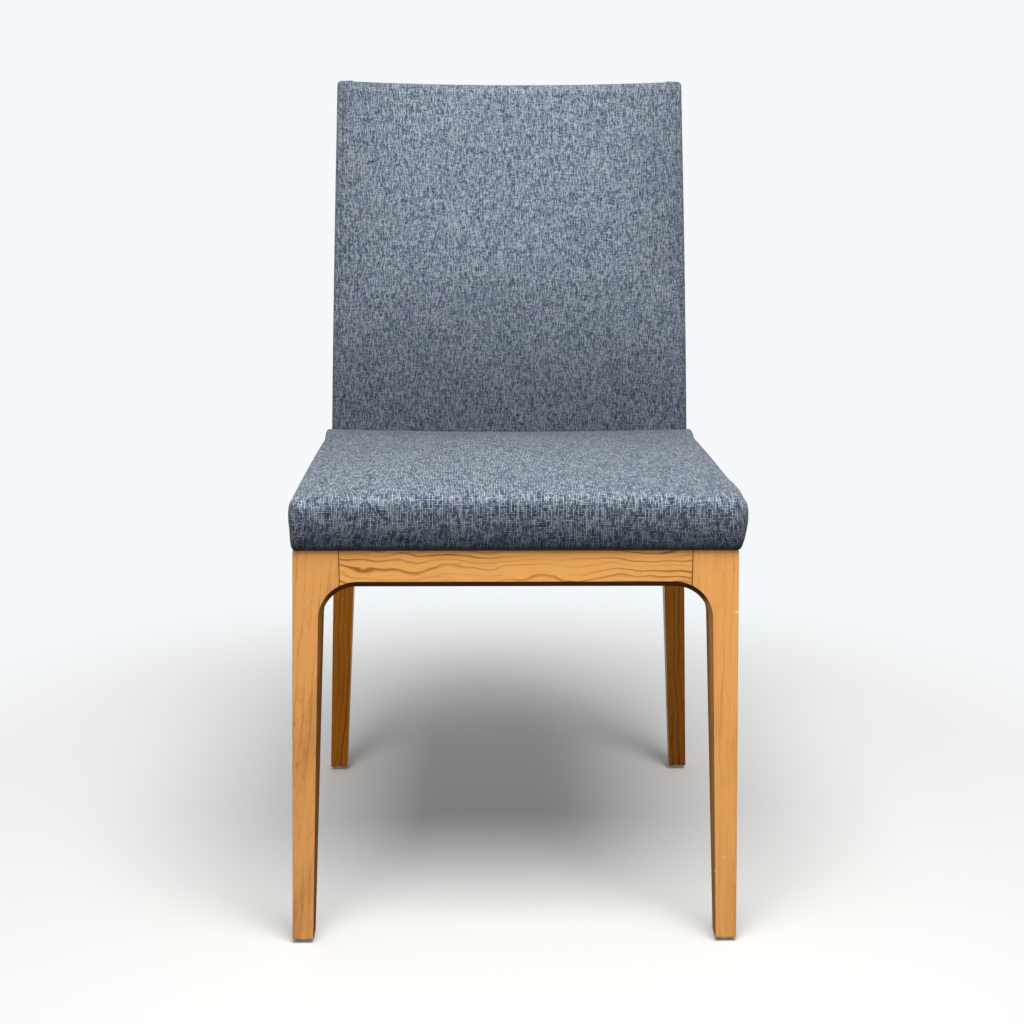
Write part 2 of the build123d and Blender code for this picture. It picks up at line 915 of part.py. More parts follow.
def chair():
    nodes = seat_frame(front_arch(), side_arch())
    nodes.update(back_pieces())
    nodes.update(seat_pieces())
    nodes.update(fasteners())
    nodes.update(pair("glide_front", glide("front")))
    nodes.update(pair("glide_rear", glide("rear")))
    return nodes


def main():
    os.makedirs("parts", exist_ok=True)
    nodes = chair()
    front = nodes["seat_cover"].bounding_box().min.Y
    rear = nodes["back_cover"].bounding_box().max.Y
    to_middle = Pos(0, -(front + rear) / 2, 0)
    for name, piece in nodes.items():
        export_step(to_middle * piece, "parts/" + name + ".step")


main()
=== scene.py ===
import bpy
import bmesh
import math
import numpy as np
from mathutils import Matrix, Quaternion, Vector


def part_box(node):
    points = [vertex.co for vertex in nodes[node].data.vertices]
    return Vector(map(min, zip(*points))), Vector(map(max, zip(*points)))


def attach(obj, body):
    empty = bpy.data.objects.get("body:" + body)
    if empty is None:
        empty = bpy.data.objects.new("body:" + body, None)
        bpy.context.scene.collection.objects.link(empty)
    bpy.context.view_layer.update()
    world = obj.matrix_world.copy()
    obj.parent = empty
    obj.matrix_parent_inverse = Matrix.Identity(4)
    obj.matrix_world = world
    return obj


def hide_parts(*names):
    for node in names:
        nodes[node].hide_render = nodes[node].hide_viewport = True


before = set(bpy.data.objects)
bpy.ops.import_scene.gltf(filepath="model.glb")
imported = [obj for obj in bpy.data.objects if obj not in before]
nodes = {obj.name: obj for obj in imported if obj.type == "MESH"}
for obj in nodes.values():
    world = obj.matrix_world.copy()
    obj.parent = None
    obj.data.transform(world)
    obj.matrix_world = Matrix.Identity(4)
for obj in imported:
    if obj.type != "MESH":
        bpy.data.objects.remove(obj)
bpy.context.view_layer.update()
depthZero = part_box("front_rail")[0].y  # the plane of the front legs' front faces
scene = bpy.context.scene
print("frame loaded,", len(nodes), "nodes")

# Camera, floor and light
view = dict(lens=61.5, place=(-0.0310, -1.6243, 0.8503), pitch=13.8, yaw=0.95, roll=0.16)
studio = dict(
    floorTone=(0.93, 0.93, 0.92), floorBounce=(0.28, 0.27, 0.26), floorReach=14.0, fadeStart=0.3, fadeEnd=1.1,
    paleTone=(0.92, 0.94, 0.96), skyTone=(0.95, 0.97, 1.0), skyStrength=0.30,
)


def makeCamera():
    pitch, yaw = math.radians(view["pitch"]), math.radians(view["yaw"])
    look = Vector((math.sin(yaw) * math.cos(pitch), math.cos(yaw) * math.cos(pitch), -math.sin(pitch)))
    data = bpy.data.cameras.new("viewCamera")
    data.lens = view["lens"]
    data.sensor_width = 36.0
    data.clip_start, data.clip_end = 0.05, 60
    camera = bpy.data.objects.new("viewCamera", data)
    x, y, z = view["place"]
    camera.location = (x, y + depthZero, z)
    camera.rotation_mode = "QUATERNION"
    turn = Quaternion((0, 0, 1), math.radians(view["roll"]))
    camera.rotation_quaternion = look.to_track_quat("-Z", "Y") @ turn
    scene.collection.objects.link(camera)
    scene.camera = camera


def softLight(name, place, aim, size, watts, tone):
    data = bpy.data.lights.new(name, "AREA")
    data.shape = "RECTANGLE"
    data.size, data.size_y = size
    data.energy = watts
    data.color = tone
    lamp = bpy.data.objects.new(name, data)
    lamp.location = place
    lamp.rotation_euler = (Vector(aim) - Vector(place)).to_track_quat("-Z", "Y").to_euler()
    scene.collection.objects.link(lamp)


# Small helpers for shader nodes
def setAll(item, values):
    for label, value in values.items():
        setattr(item, label, value)


def addNode(tree, kind, **values):
    node = tree.nodes.new(kind)
    setAll(node, values)
    return node


def feed(tree, socket, value):
    # A socket is linked, a number or colour is set on the input
    if isinstance(value, bpy.types.NodeSocket):
        tree.links.new(value, socket)
    else:
        socket.default_value = value


def setInputs(node, values):
    # Constant numbers and colours, by the names of the inputs
    for label, value in values.items():
        node.inputs[label].default_value = value


def calc(tree, operation, first, second=0.0, clamp=False):
    node = addNode(tree, "ShaderNodeMath", operation=operation, use_clamp=clamp)
    for socket, value in zip(node.inputs, (first, second)):
        feed(tree, socket, value)
    return node.outputs[0]


def ramp(tree, value, low, high, start=0.0, end=1.0, smooth=True):
    node = addNode(tree, "ShaderNodeMapRange", interpolation_type="SMOOTHSTEP" if smooth else "LINEAR")
    for socket, item in zip(node.inputs, (value, low, high, start, end)):
        feed(tree, socket, item)
    return node.outputs[0]


def blendTones(tree, share, first, second, kind="MIX"):
    node = addNode(tree, "ShaderNodeMix", data_type="RGBA", blend_type=kind)
    feed(tree, node.inputs[0], share)
    feed(tree, node.inputs[6], first)
    feed(tree, node.inputs[7], second)
    return node.outputs[2]


def times(tree, first, second):
    return calc(tree, "MULTIPLY", first, second)


def plus(tree, first, second, clamp=False):
    return calc(tree, "ADD", first, second, clamp=clamp)


def minus(tree, first, second):
    return calc(tree, "SUBTRACT", first, second)


def unsigned(tree, value):
    return calc(tree, "ABSOLUTE", value)


def distance(tree, first, second):
    # The length of a flat vector with these two parts
    return calc(tree, "SQRT", plus(tree, times(tree, first, first), times(tree, second, second)))


def blendValues(tree, share, first, second):
    # first where share is 0, second where it is 1
    return plus(tree, first, times(tree, share, minus(tree, second, first)))


def noise(tree, vector, scale, detail=2.0, rough=0.5):
    node = addNode(tree, "ShaderNodeTexNoise")
    feed(tree, node.inputs["Vector"], vector)
    setInputs(node, {"Scale": scale, "Detail": detail, "Roughness": rough})
    return node.outputs[0]


def stretched(tree, parts, factors):
    # A vector with each part multiplied by its own factor
    node = addNode(tree, "ShaderNodeCombineXYZ")
    for socket, part, factor in zip(node.inputs, parts, factors):
        feed(tree, socket, part if factor == 1 else times(tree, part, factor))
    return node.outputs[0]


def partsOf(tree, vector):
    node = addNode(tree, "ShaderNodeSeparateXYZ")
    feed(tree, node.inputs[0], vector)
    return node.outputs


def newGroup(name, inputs, outputs):
    tree = bpy.data.node_groups.new(name, "ShaderNodeTree")
    for way, sockets in (("INPUT", inputs), ("OUTPUT", outputs)):
        for label, kind in sockets.items():
            tree.interface.new_socket(label, in_out=way, socket_type="NodeSocket" + kind)
    return tree, addNode(tree, "NodeGroupInput").outputs, addNode(tree, "NodeGroupOutput").inputs


def placeGroup(tree, group, **values):
    node = addNode(tree, "ShaderNodeGroup", node_tree=group)
    for label, value in values.items():
        feed(tree, node.inputs[label], value)
    return node.outputs


def newMaterial(name):
    material = bpy.data.materials.new(name)
    material.use_nodes = True
    tree = material.node_tree
    return material, tree, tree.nodes["Principled BSDF"]


def objectPlace(tree):
    return addNode(tree, "ShaderNodeTexCoord").outputs["Object"]


def boardSpace(tree, place, turn, shift):
    # Object coordinates turned so that X runs along the grain
    mapping = addNode(tree, "ShaderNodeMapping")
    tree.links.new(place, mapping.inputs["Vector"])
    setInputs(mapping, {"Rotation": [math.radians(angle) for angle in turn], "Location": shift})
    return mapping.outputs[0]


def bump(tree, height, strength, reach, normal=None):
    node = addNode(tree, "ShaderNodeBump")
    setInputs(node, {"Strength": strength, "Distance": reach})
    tree.links.new(height, node.inputs["Height"])
    if normal is not None:
        tree.links.new(normal, node.inputs["Normal"])
    return node.outputs[0]


def setLook(tree, shader, color, roughness, normal):
    for label, value in (("Base Color", color), ("Roughness", roughness), ("Normal", normal)):
        feed(tree, shader.inputs[label], value)


def facing(tree):
    # The parts of the surface's outward direction
    return partsOf(tree, addNode(tree, "ShaderNodeNewGeometry").outputs["Normal"])


# Shader groups: wood grain, worn edges, woven cloth
def makeGrainGroup():
    tree, given, out = newGroup(
        "woodGrain",
        dict(
            Vector="Vector", Light="Color", Dark="Color",
            Spacing="Float", Waver="Float", Lines="Float", Flecks="Float", Clouds="Float",
        ),
        dict(Color="Color", Height="Float", Mask="Float"),
    )
    x, y, z = partsOf(tree, given["Vector"])

    def streaks(along, across, detail, rough=0.5):
        # Noise drawn out along the grain
        return noise(tree, stretched(tree, (x, y, z), (along, across, across)), 1.0, detail, rough)

    # Growth rings: distance from the pith, wavering slowly along the board
    drift = minus(tree, streaks(13.0, 26.0, 2.5), 0.5)
    drift = times(tree, times(tree, drift, given["Waver"]), 4.0)
    reach = distance(tree, y, z)
    rings = calc(tree, "DIVIDE", plus(tree, reach, drift), given["Spacing"])
    phase = calc(tree, "FRACT", rings)
    late = times(tree, ramp(tree, phase, 0.50, 0.92), ramp(tree, phase, 0.92, 1.0, 1.0, 0.0))
    ringNumber = stretched(tree, (x, calc(tree, "FLOOR", rings), 0.0), (5.0, 1.7, 1))
    late = times(tree, late, ramp(tree, noise(tree, ringNumber, 1.0, 1.0), 0.3, 0.68, 0.10, 1.0))
    pores = ramp(tree, streaks(28.0, 900.0, 3.0, 0.6), 0.50, 0.74)
    flecks = ramp(tree, streaks(90.0, 420.0, 2.0, 0.55), 0.54, 0.72)
    cloud = minus(tree, streaks(9.0, 40.0, 2.0), 0.5)
    mask = times(tree, late, given["Lines"])
    mask = plus(tree, mask, times(tree, pores, 0.20))
    mask = plus(tree, mask, times(tree, flecks, given["Flecks"]))
    mask = plus(tree, mask, times(tree, cloud, given["Clouds"]), clamp=True)
    hollow = plus(tree, times(tree, pores, 0.6), times(tree, late, 0.3))
    feed(tree, out["Color"], blendTones(tree, mask, given["Light"], given["Dark"]))
    feed(tree, out["Height"], minus(tree, 1.0, hollow))
    feed(tree, out["Mask"], mask)
    return tree


def makeWearGroup():
    # Where the surface turns within a small radius, an edge is worn pale
    tree, given, out = newGroup(
        "wornEdges", dict(Vector="Vector", Radius="Float"), dict(Mask="Float", Normal="Vector"))
    rounded = addNode(tree, "ShaderNodeBevel", samples=4)
    feed(tree, rounded.inputs["Radius"], given["Radius"])
    surface = addNode(tree, "ShaderNodeNewGeometry")
    product = addNode(tree, "ShaderNodeVectorMath", operation="DOT_PRODUCT")
    tree.links.new(rounded.outputs[0], product.inputs[0])
    tree.links.new(surface.outputs["Normal"], product.inputs[1])
    edge = ramp(tree, product.outputs["Value"], 0.995, 0.90)
    patchy = ramp(tree, noise(tree, given["Vector"], 160.0, 3.0), 0.36, 0.60)
    feed(tree, out["Mask"], times(tree, edge, patchy))
    feed(tree, out["Normal"], rounded.outputs[0])
    return tree


yarn = dict(
    numberStep=7.31, warpEdge=0.52, warpBody=0.58, weftEdge=0.45, weftBody=0.53, shownShare=0.25, strongShare=0.75,
    middleTone=0.455, darkTone=0.355, lightTone=0.60, hueShare=0.55,
    violet=(0.34, 0.24, 0.42, 1), green=(0.24, 0.42, 0.34, 1),
)


def makeWeaveGroup():
    tree, given, out = newGroup(
        "plainWeave",
        dict(Vector="Vector", Pitch="Float", Along="Float", Dark="Color", Middle="Color", Light="Color"),
        dict(Color="Color", Height="Float"),
    )
    u, v, _ = partsOf(tree, given["Vector"])

    def threads(across, along, seed):
        # One yarn per pitch across, its tone wandering along its own length
        place = calc(tree, "DIVIDE", across, given["Pitch"])
        number = calc(tree, "FLOOR", place)
        own = plus(tree, times(tree, number, yarn["numberStep"]), seed)
        run = times(tree, along, given["Along"])
        slub = noise(tree, stretched(tree, (run, own, 0.0), (1, 1, 1)), 1.0, 3.0, 0.8)
        tint = noise(tree, stretched(tree, (run, own, 9.0), (0.3, 1, 1)), 1.0, 1.0)
        cross = minus(tree, calc(tree, "FRACT", place), 0.5)
        body = minus(tree, 1.0, times(tree, times(tree, cross, cross), 4.0))
        return number, slub, tint, body

    warp, warpSlub, warpTint, warpBody = threads(u, v, 3.0)
    weft, weftSlub, weftTint, weftBody = threads(v, u, 51.0)
    over = calc(tree, "PINGPONG", plus(tree, warp, weft), 1.0)
    # A pale slub lies on top of the cloth, so the paler of the two yarns shows most
    warpTone = times(tree, warpSlub, plus(tree, yarn["warpEdge"], times(tree, warpBody, yarn["warpBody"])))
    weftTone = times(tree, weftSlub, plus(tree, yarn["weftEdge"], times(tree, weftBody, yarn["weftBody"])))
    strong = calc(tree, "MAXIMUM", warpTone, weftTone)
    shown = blendValues(tree, over, warpTone, weftTone)
    tone = plus(tree, times(tree, shown, yarn["shownShare"]), times(tree, strong, yarn["strongShare"]))
    dark = ramp(tree, tone, yarn["middleTone"], yarn["darkTone"])
    light = ramp(tree, tone, yarn["middleTone"], yarn["lightTone"])
    color = blendTones(tree, dark, given["Middle"], given["Dark"])
    color = blendTones(tree, light, color, given["Light"])
    hue = blendValues(tree, over, warpTint, weftTint)
    for low, high, tint in ((0.52, 0.70, yarn["violet"]), (0.48, 0.30, yarn["green"])):
        color = blendTones(tree, ramp(tree, hue, low, high, 0.0, yarn["hueShare"]), color, tint, "SOFT_LIGHT")
    height = plus(tree, blendValues(tree, over, warpBody, weftBody), times(tree, strong, 0.9))
    feed(tree, out["Color"], color)
    feed(tree, out["Height"], height)
    return tree


grainGroup = makeGrainGroup()
wearGroup = makeWearGroup()
weaveGroup = makeWeaveGroup()

# Stained wood: one board each, with its own grain, tone, joint lines and chips
stain = dict(
    light=(0.96, 0.465, 0.135), dark=(0.37, 0.112, 0.018), worn=(0.98, 0.72, 0.40, 1), wornShare=0.5,
    # under and its shares: painted shade on faces that look down and on the front legs' inner faces
    under=(0.045, 0.012, 0.001, 1), underShadeShare=0.93, inwardShadeShare=0.75, coat=0.16,
    jointPlace=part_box("front_rail")[1].x, jointHalf=0.0003, jointTone=(0.11, 0.03, 0.006, 1), jointShare=0.95,
    chipTone=(0.98, 0.86, 0.58, 1), chipSlant=0.6, chipFlat=1.6,
)
rearLeg = dict(waver=0.0035, flecks=0.25, clouds=0.8, tone=(0.93, 0.90, 0.85))
rail = dict(spacing=0.0065, waver=0.0035, lines=0.75, flecks=0.20, clouds=0.6, tone=(0.95, 0.93, 0.9))
woods = {
    "front_rail": dict(
        turn=(0, 0.5, 0.2), shift=(0.31, 0.25, -0.278), spacing=0.0060, waver=0.0080,
        lines=1.0, flecks=0.12, clouds=0.8, tone=(1.0, 1.0, 0.97),
    ),
    "front_leg_left": dict(
        turn=(0, 84, 3), shift=(0.2, 0.25, -0.30), spacing=0.0075, waver=0.0030,
        lines=0.34, flecks=0.22, clouds=1.7, tone=(0.93, 0.90, 0.93),
    ),
    "front_leg_right": dict(
        turn=(0, 91, 1), shift=(0.7, 0.25, 0.31), spacing=0.0080, waver=0.0030,
        # inward: this leg's own share of painted shade on its inner faces
        lines=0.20, flecks=0.12, clouds=0.8, tone=(1.02, 0.99, 1.0), inward=0.52,
    ),
    # shade on the rear legs is painted shade for their front faces
    "rear_leg_left": dict(
        rearLeg, turn=(0, 86, 2), shift=(0.3, -0.19, -0.30), spacing=0.0060, lines=0.85, shade=(0.64, 0.45, 0.10, 1)),
    "rear_leg_right": dict(
        rearLeg, turn=(0, 94, -2), shift=(0.9, -0.19, 0.30), spacing=0.0065, lines=0.75, shade=(0.38, 0.28, 0.07, 1)),
    "side_rail_left": dict(rail, turn=(0, 2, -88), shift=(0.4, -0.16, -0.30)),
    "side_rail_right": dict(rail, turn=(0, -2, -91), shift=(0.8, 0.24, -0.30)),
    "rear_rail": dict(rail, turn=(0, 2, 1), shift=(0.5, -0.20, -0.30)),
}
# Chips in the finish, as places across and up, with their sizes
chips = {"front_leg_right": [
    (0.2146, 0.3509, 0.0018), (0.2104, 0.0933, 0.0011), (0.2018, 0.0780, 0.0012), (0.2012, 0.0638, 0.0010),
]}


def stainedWood(node, board):
    material, tree, shader = newMaterial("stainedWood_" + node)
    place = objectPlace(tree)
    x, y, z = partsOf(tree, place)
    light, dark = ((*(a * b for a, b in zip(stain[key], board["tone"])), 1) for key in ("light", "dark"))
    grainColor, grainHeight, grainMask = placeGroup(
        tree, grainGroup, Vector=boardSpace(tree, place, board["turn"], board["shift"]), Light=light, Dark=dark,
        **{label: board[label.lower()] for label in ("Spacing", "Waver", "Lines", "Flecks", "Clouds")},
    )
    worn, rounded = placeGroup(tree, wearGroup, Vector=place, Radius=0.0013)
    color = blendTones(tree, times(tree, worn, stain["wornShare"]), grainColor, stain["worn"])
    # Painted shade: faces that look down, and the inner faces of the front legs, are darkened towards the under colour;
    # thick holds this mask
    wayX, wayY, wayZ = facing(tree)
    thick = ramp(tree, wayZ, -0.15, -0.5, 0.0, stain["underShadeShare"])
    if node.startswith("front_"):
        inward = times(tree, wayX, calc(tree, "SIGN", x))
        share = board.get("inward", stain["inwardShadeShare"])
        thick = calc(tree, "MAXIMUM", thick, ramp(tree, inward, -0.3, -0.6, 0.0, share))
    color = blendTones(tree, thick, color, stain["under"])
    if "shade" in board:
        # Painted shade: the fronts of the rear legs, which stand in the seat's shadow, are darkened
        color = blendTones(tree, ramp(tree, wayY, -0.3, -0.6), color, board["shade"], "MULTIPLY")
    if node.startswith("front_"):
        gap = unsigned(tree, minus(tree, unsigned(tree, x), stain["jointPlace"]))
        line = ramp(tree, gap, stain["jointHalf"], stain["jointHalf"] * 2.2, stain["jointShare"], 0.0)
        color = blendTones(tree, line, color, stain["jointTone"])
    for chipX, chipZ, reach in chips.get(node, []):
        # A small slanted oval where the finish has come off
        across = minus(tree, x, chipX)
        up = times(tree, minus(tree, z, chipZ), stain["chipFlat"])
        up = minus(tree, up, times(tree, across, stain["chipSlant"]))
        far = distance(tree, across, up)
        front = ramp(tree, y, depthZero + 0.003, depthZero + 0.002)
        chip = times(tree, ramp(tree, far, reach, reach * 0.6), front)
        color = blendTones(tree, chip, color, stain["chipTone"])
    # Where the painted shade lies, the wood is dull and has no coat
    dull = ramp(tree, thick, 0.0, 0.5, 0.0, 0.95)
    rough = calc(tree, "MAXIMUM", ramp(tree, grainMask, 0.0, 1.0, 0.40, 0.54), dull)
    setLook(tree, shader, color, rough, bump(tree, grainHeight, 0.25, 0.0004, rounded))
    feed(tree, shader.inputs["Coat Weight"], ramp(tree, thick, 0.0, 0.5, stain["coat"], 0.0))
    setInputs(shader, {"Specular IOR Level": 0.05, "Coat Roughness": 0.3})
    return material


def rawWood(name, light, dark, turn, spacing):
    material, tree, shader = newMaterial(name)
    vector = boardSpace(tree, objectPlace(tree), turn, (0.3, 0.13, -0.22))
    color, height, mask = placeGroup(
        tree, grainGroup, Vector=vector, Light=light, Dark=dark,
        Spacing=spacing, Waver=0.002, Lines=0.5, Flecks=0.2, Clouds=0.6,
    )
    setLook(tree, shader, color, ramp(tree, mask, 0.0, 1.0, 0.62, 0.78, False), bump(tree, height, 0.4, 0.0004))
    return material


def layeredBoard(name, axis, light, dark, layer):
    # Plies across the thickness, with the face grain on the broad sides
    material, tree, shader = newMaterial(name)
    place = objectPlace(tree)
    vector = boardSpace(tree, place, (0, 0, 90), (0.2, 0.11, -0.3))
    color, height, mask = placeGroup(
        tree, grainGroup, Vector=vector, Light=light, Dark=dark,
        Spacing=0.011, Waver=0.005, Lines=0.45, Flecks=0.15, Clouds=0.6,
    )
    side = unsigned(tree, facing(tree)[axis])
    step = calc(tree, "PINGPONG", calc(tree, "DIVIDE", partsOf(tree, place)[axis], layer), 1.0)
    edge = times(tree, ramp(tree, step, 0.35, 0.65, 0.0, 0.75), ramp(tree, side, 0.8, 0.4))
    color = blendTones(tree, edge, color, dark)
    setLook(tree, shader, color, ramp(tree, mask, 0.0, 1.0, 0.6, 0.8, False), bump(tree, height, 0.4, 0.0004))
    return material


def pressedBoard():
    material, tree, shader = newMaterial("pressedBoard")
    place = objectPlace(tree)
    speck = noise(tree, place, 900.0, 3.0, 0.7)
    cloud = noise(tree, place, 22.0, 2.0)
    mix = plus(tree, times(tree, speck, 0.6), times(tree, cloud, 0.4))
    color = blendTones(tree, ramp(tree, mix, 0.35, 0.65), (0.16, 0.09, 0.045, 1), (0.34, 0.21, 0.11, 1))
    setLook(tree, shader, color, ramp(tree, speck, 0.3, 0.7, 0.55, 0.75), bump(tree, speck, 0.3, 0.0003))
    return material


def zincSteel():
    material, tree, shader = newMaterial("zincSteel")
    spangle = noise(tree, objectPlace(tree), 650.0, 3.0, 0.6)
    color = blendTones(tree, ramp(tree, spangle, 0.35, 0.7), (0.62, 0.62, 0.60, 1), (0.42, 0.43, 0.44, 1))
    setLook(tree, shader, color, ramp(tree, spangle, 0.3, 0.7, 0.26, 0.45), bump(tree, spangle, 0.15, 0.0002))
    setInputs(shader, {"Metallic": 1.0})
    return material


def whiteNylon():
    material, tree, shader = newMaterial("whiteNylon")
    place = objectPlace(tree)
    cloud = noise(tree, place, 240.0, 3.0)
    scuff = ramp(tree, noise(tree, place, 1100.0, 2.0, 0.7), 0.52, 0.75)
    low = ramp(tree, partsOf(tree, place)[2], 0.0, 0.002, 0.20, 0.03)  # dirtier towards the floor
    dirt = times(tree, plus(tree, scuff, cloud), low)
    color = blendTones(tree, dirt, (0.95, 0.95, 0.94, 1), (0.45, 0.43, 0.39, 1))
    setLook(tree, shader, color, ramp(tree, cloud, 0.3, 0.7, 0.35, 0.52), bump(tree, scuff, 0.2, 0.0002))
    setInputs(shader, {"Subsurface Weight": 0.08, "Subsurface Radius": (0.002, 0.002, 0.002)})
    return material


# Upholstery cloth: heathered yarns in a plain weave, on the pieces' own weave maps
weave = dict(
    dark=(0.010, 0.016, 0.030, 1), middle=(0.104, 0.143, 0.203, 1), light=(0.52, 0.57, 0.62, 1),
    shadow=(0.09, 0.11, 0.14, 1), paintedShade=(0.20, 0.215, 0.25, 1), hemShadow=(0.004, 0.005, 0.007, 1), sheen=0.22,
)
# In each look, low, high and share set the painted shade that darkens the cloth towards the bottom
seatTone = dict(
    pitch=0.0016, along=90.0, low=0.414, high=0.470, share=0.96, sideShadeShare=0.0, uprightShadeShare=0.42,
    hemShadow=0.421, hemShadowShare=0.88, rearShadeShare=0.34, seamShadeShare=0.0, stripShadeShare=0.0,
)
backTone = dict(
    pitch=0.0010, along=120.0, low=0.440, high=0.720, share=0.55, sideShadeShare=0.26, uprightShadeShare=0.0,
    hemShadow=0.414, hemShadowShare=0.0, rearShadeShare=0.0, seamShadeShare=0.45, stripShadeShare=0.22,
)
seam = dict(low=0.405, high=0.836, lowHalf=0.2119, highHalf=0.2011, inset=0.0065, lineHalf=0.0004)


def wovenCloth(name, look):
    # Painted shade: between two heights the cloth goes from a darker tone to its own, and it is darker
    # along its hem (a painted shadow) and seams, near both sides, towards the rear and where it stands upright
    material, tree, shader = newMaterial(name)
    lay = addNode(tree, "ShaderNodeUVMap", uv_map="weave")
    color, height = placeGroup(
        tree, weaveGroup, Vector=lay.outputs[0], Pitch=look["pitch"], Along=look["along"],
        Dark=weave["dark"], Middle=weave["middle"], Light=weave["light"],
    )
    place = objectPlace(tree)
    x, y, z = partsOf(tree, place)
    cloud = ramp(tree, noise(tree, place, 9.0, 2.0), 0.3, 0.7, 0.0, 0.10)
    patch = ramp(tree, noise(tree, place, 55.0, 2.0), 0.35, 0.65, 0.0, 0.06)
    color = blendTones(tree, plus(tree, cloud, patch), color, weave["shadow"])
    # Painted shade near both sides, where the pad rounds away from the light
    sides = ramp(tree, unsigned(tree, x), 0.10, 0.21, 0.0, look["sideShadeShare"])
    # Painted shade towards the rear, where the back blocks the light
    rear = ramp(tree, y, -0.12, 0.15, 0.0, look["rearShadeShare"])
    _, wayY, wayZ = facing(tree)
    # Painted shade where the cloth stands upright, away from the light above
    upright = ramp(tree, wayZ, 0.85, 0.40, 0.0, look["uprightShadeShare"])
    # The front panel's seams run beside the leaning sides; a painted shade line lies along each seam, and the strip
    # outside them gets painted shade
    half = ramp(tree, z, seam["low"], seam["high"], seam["lowHalf"], seam["highHalf"])
    inset = minus(tree, minus(tree, half, unsigned(tree, x)), seam["inset"])
    strip = ramp(tree, inset, seam["lineHalf"], -seam["lineHalf"], 0.0, look["stripShadeShare"])
    line = ramp(tree, unsigned(tree, inset), seam["lineHalf"], seam["lineHalf"] * 3, look["seamShadeShare"], 0.0)
    seamShade = times(tree, calc(tree, "MAXIMUM", strip, line), ramp(tree, wayY, -0.2, -0.5))
    # Painted shade towards the bottom, joined with the painted shade near the sides, rear, upright faces and seams
    paintedShade = ramp(tree, z, look["low"], look["high"], look["share"], 0.0)
    for share in (sides, rear, upright, seamShade):
        paintedShade = calc(tree, "MAXIMUM", paintedShade, share)
    color = blendTones(tree, paintedShade, color, weave["paintedShade"], "MULTIPLY")
    # Painted shadow: the lowest band of the cloth, down to the seat's bottom, is darkened nearly to black
    hemShadow = ramp(tree, z, seatTone["low"], look["hemShadow"], look["hemShadowShare"], 0.0)
    color = blendTones(tree, hemShadow, color, weave["hemShadow"])
    setLook(tree, shader, color, ramp(tree, height, 0.3, 1.6, 0.95, 0.78), bump(tree, height, 0.35, 0.0005))
    setInputs(shader, {
        "Sheen Weight": weave["sheen"], "Sheen Roughness": 0.45, "Sheen Tint": (0.92, 0.95, 0.93, 1),
        "Specular IOR Level": 0.12,
    })
    return material


def blackFleece():
    material, tree, shader = newMaterial("blackFleece")
    place = objectPlace(tree)
    dots = addNode(tree, "ShaderNodeTexVoronoi")
    feed(tree, dots.inputs["Vector"], place)
    setInputs(dots, {"Scale": 700.0})
    fibres = noise(tree, place, 1500.0, 4.0, 0.7)
    pressed = ramp(tree, dots.outputs["Distance"], 0.15, 0.45)
    color = blendTones(tree, ramp(tree, fibres, 0.4, 0.7), (0.012, 0.012, 0.013, 1), (0.045, 0.045, 0.048, 1))
    setLook(tree, shader, color, ramp(tree, pressed, 0.0, 1.0, 0.7, 0.95), bump(tree, pressed, 0.4, 0.0003))
    return material


def dress(node, material):
    slots = nodes[node].data.materials
    slots.clear()
    slots.append(material)


for node, board in woods.items():
    dress(node, stainedWood(node, board))
blockWood = rawWood("rawBlockWood", (0.66, 0.46, 0.26, 1), (0.44, 0.26, 0.12, 1), (0, 0, 45), 0.006)
railWood = rawWood("rawRailWood", (0.66, 0.48, 0.29, 1), (0.46, 0.29, 0.15, 1), (0, 0, 0), 0.007)
beech = ((0.72, 0.53, 0.34, 1), (0.52, 0.34, 0.20, 1))
dowelWood = rawWood("beechDowel", *beech, (0, 0, 0), 0.004)
sideDowelWood = rawWood("beechDowelSide", *beech, (0, 0, -90), 0.004)
steel, nylon = zincSteel(), whiteNylon()
for node in nodes:
    if node.startswith("corner_block") and not node.endswith("screws"):
        dress(node, blockWood)
    elif node in ("back_top_rail", "back_lower_rail"):
        dress(node, railWood)
    elif node.startswith("side_rail") and node.endswith("dowels"):
        dress(node, sideDowelWood)
    elif node.endswith("dowels"):
        dress(node, dowelWood)
    elif node.endswith(("screws", "staples", "pins", "nails")):
        dress(node, steel)
    elif node.startswith("glide"):
        dress(node, nylon)
ply = ((0.66, 0.49, 0.30, 1), (0.38, 0.23, 0.12, 1))
dress("seat_board", layeredBoard("seatPly", 2, *ply, 0.0014))
dress("back_panel", layeredBoard("backPly", 1, *ply, 0.0010))
dress("back_rear_board", pressedBoard())
seatCloth = wovenCloth("seatCloth", seatTone)
backCloth = wovenCloth("backCloth", backTone)
fleece = blackFleece()
print("materials made")

# Shape tools for the soft pieces
spine = dict(  # the bent posts, which the back follows
    uprightHeight=0.276, bendHeight=0.405, topHeight=0.836, frontBend=0.427, frontTop=0.492,
    rearBend=0.461, rearTop=0.512, bendHalf=0.2092, topHalf=0.1984, inner=0.181,
)


def easeIn(low, high, value):
    # 0 below low, 1 above high, an S curve between
    t = np.clip((value - low) / (high - low), 0, 1)
    return t * t * (3 - 2 * t)


def lerp(start, end, share):
    return start + (end - start) * share


def arcDepth(height, bend, top):
    # A circle that is upright at one height and passes the bend and the post's top
    low = spine["bendHeight"] - spine["uprightHeight"]
    high = spine["topHeight"] - spine["uprightHeight"]
    reach = ((high**2 - low**2) / (top - bend) + top - bend) / 2
    radius = math.hypot(reach, low)
    return bend + reach - np.sqrt(radius**2 - (height - spine["uprightHeight"]) ** 2)


def postFront(height):
    return arcDepth(height, spine["frontBend"], spine["frontTop"])


def postRear(height):
    return arcDepth(height, spine["rearBend"], spine["rearTop"])


def postHalf(height):
    share = (height - spine["bendHeight"]) / (spine["topHeight"] - spine["bendHeight"])
    return lerp(spine["bendHalf"], spine["topHalf"], share)


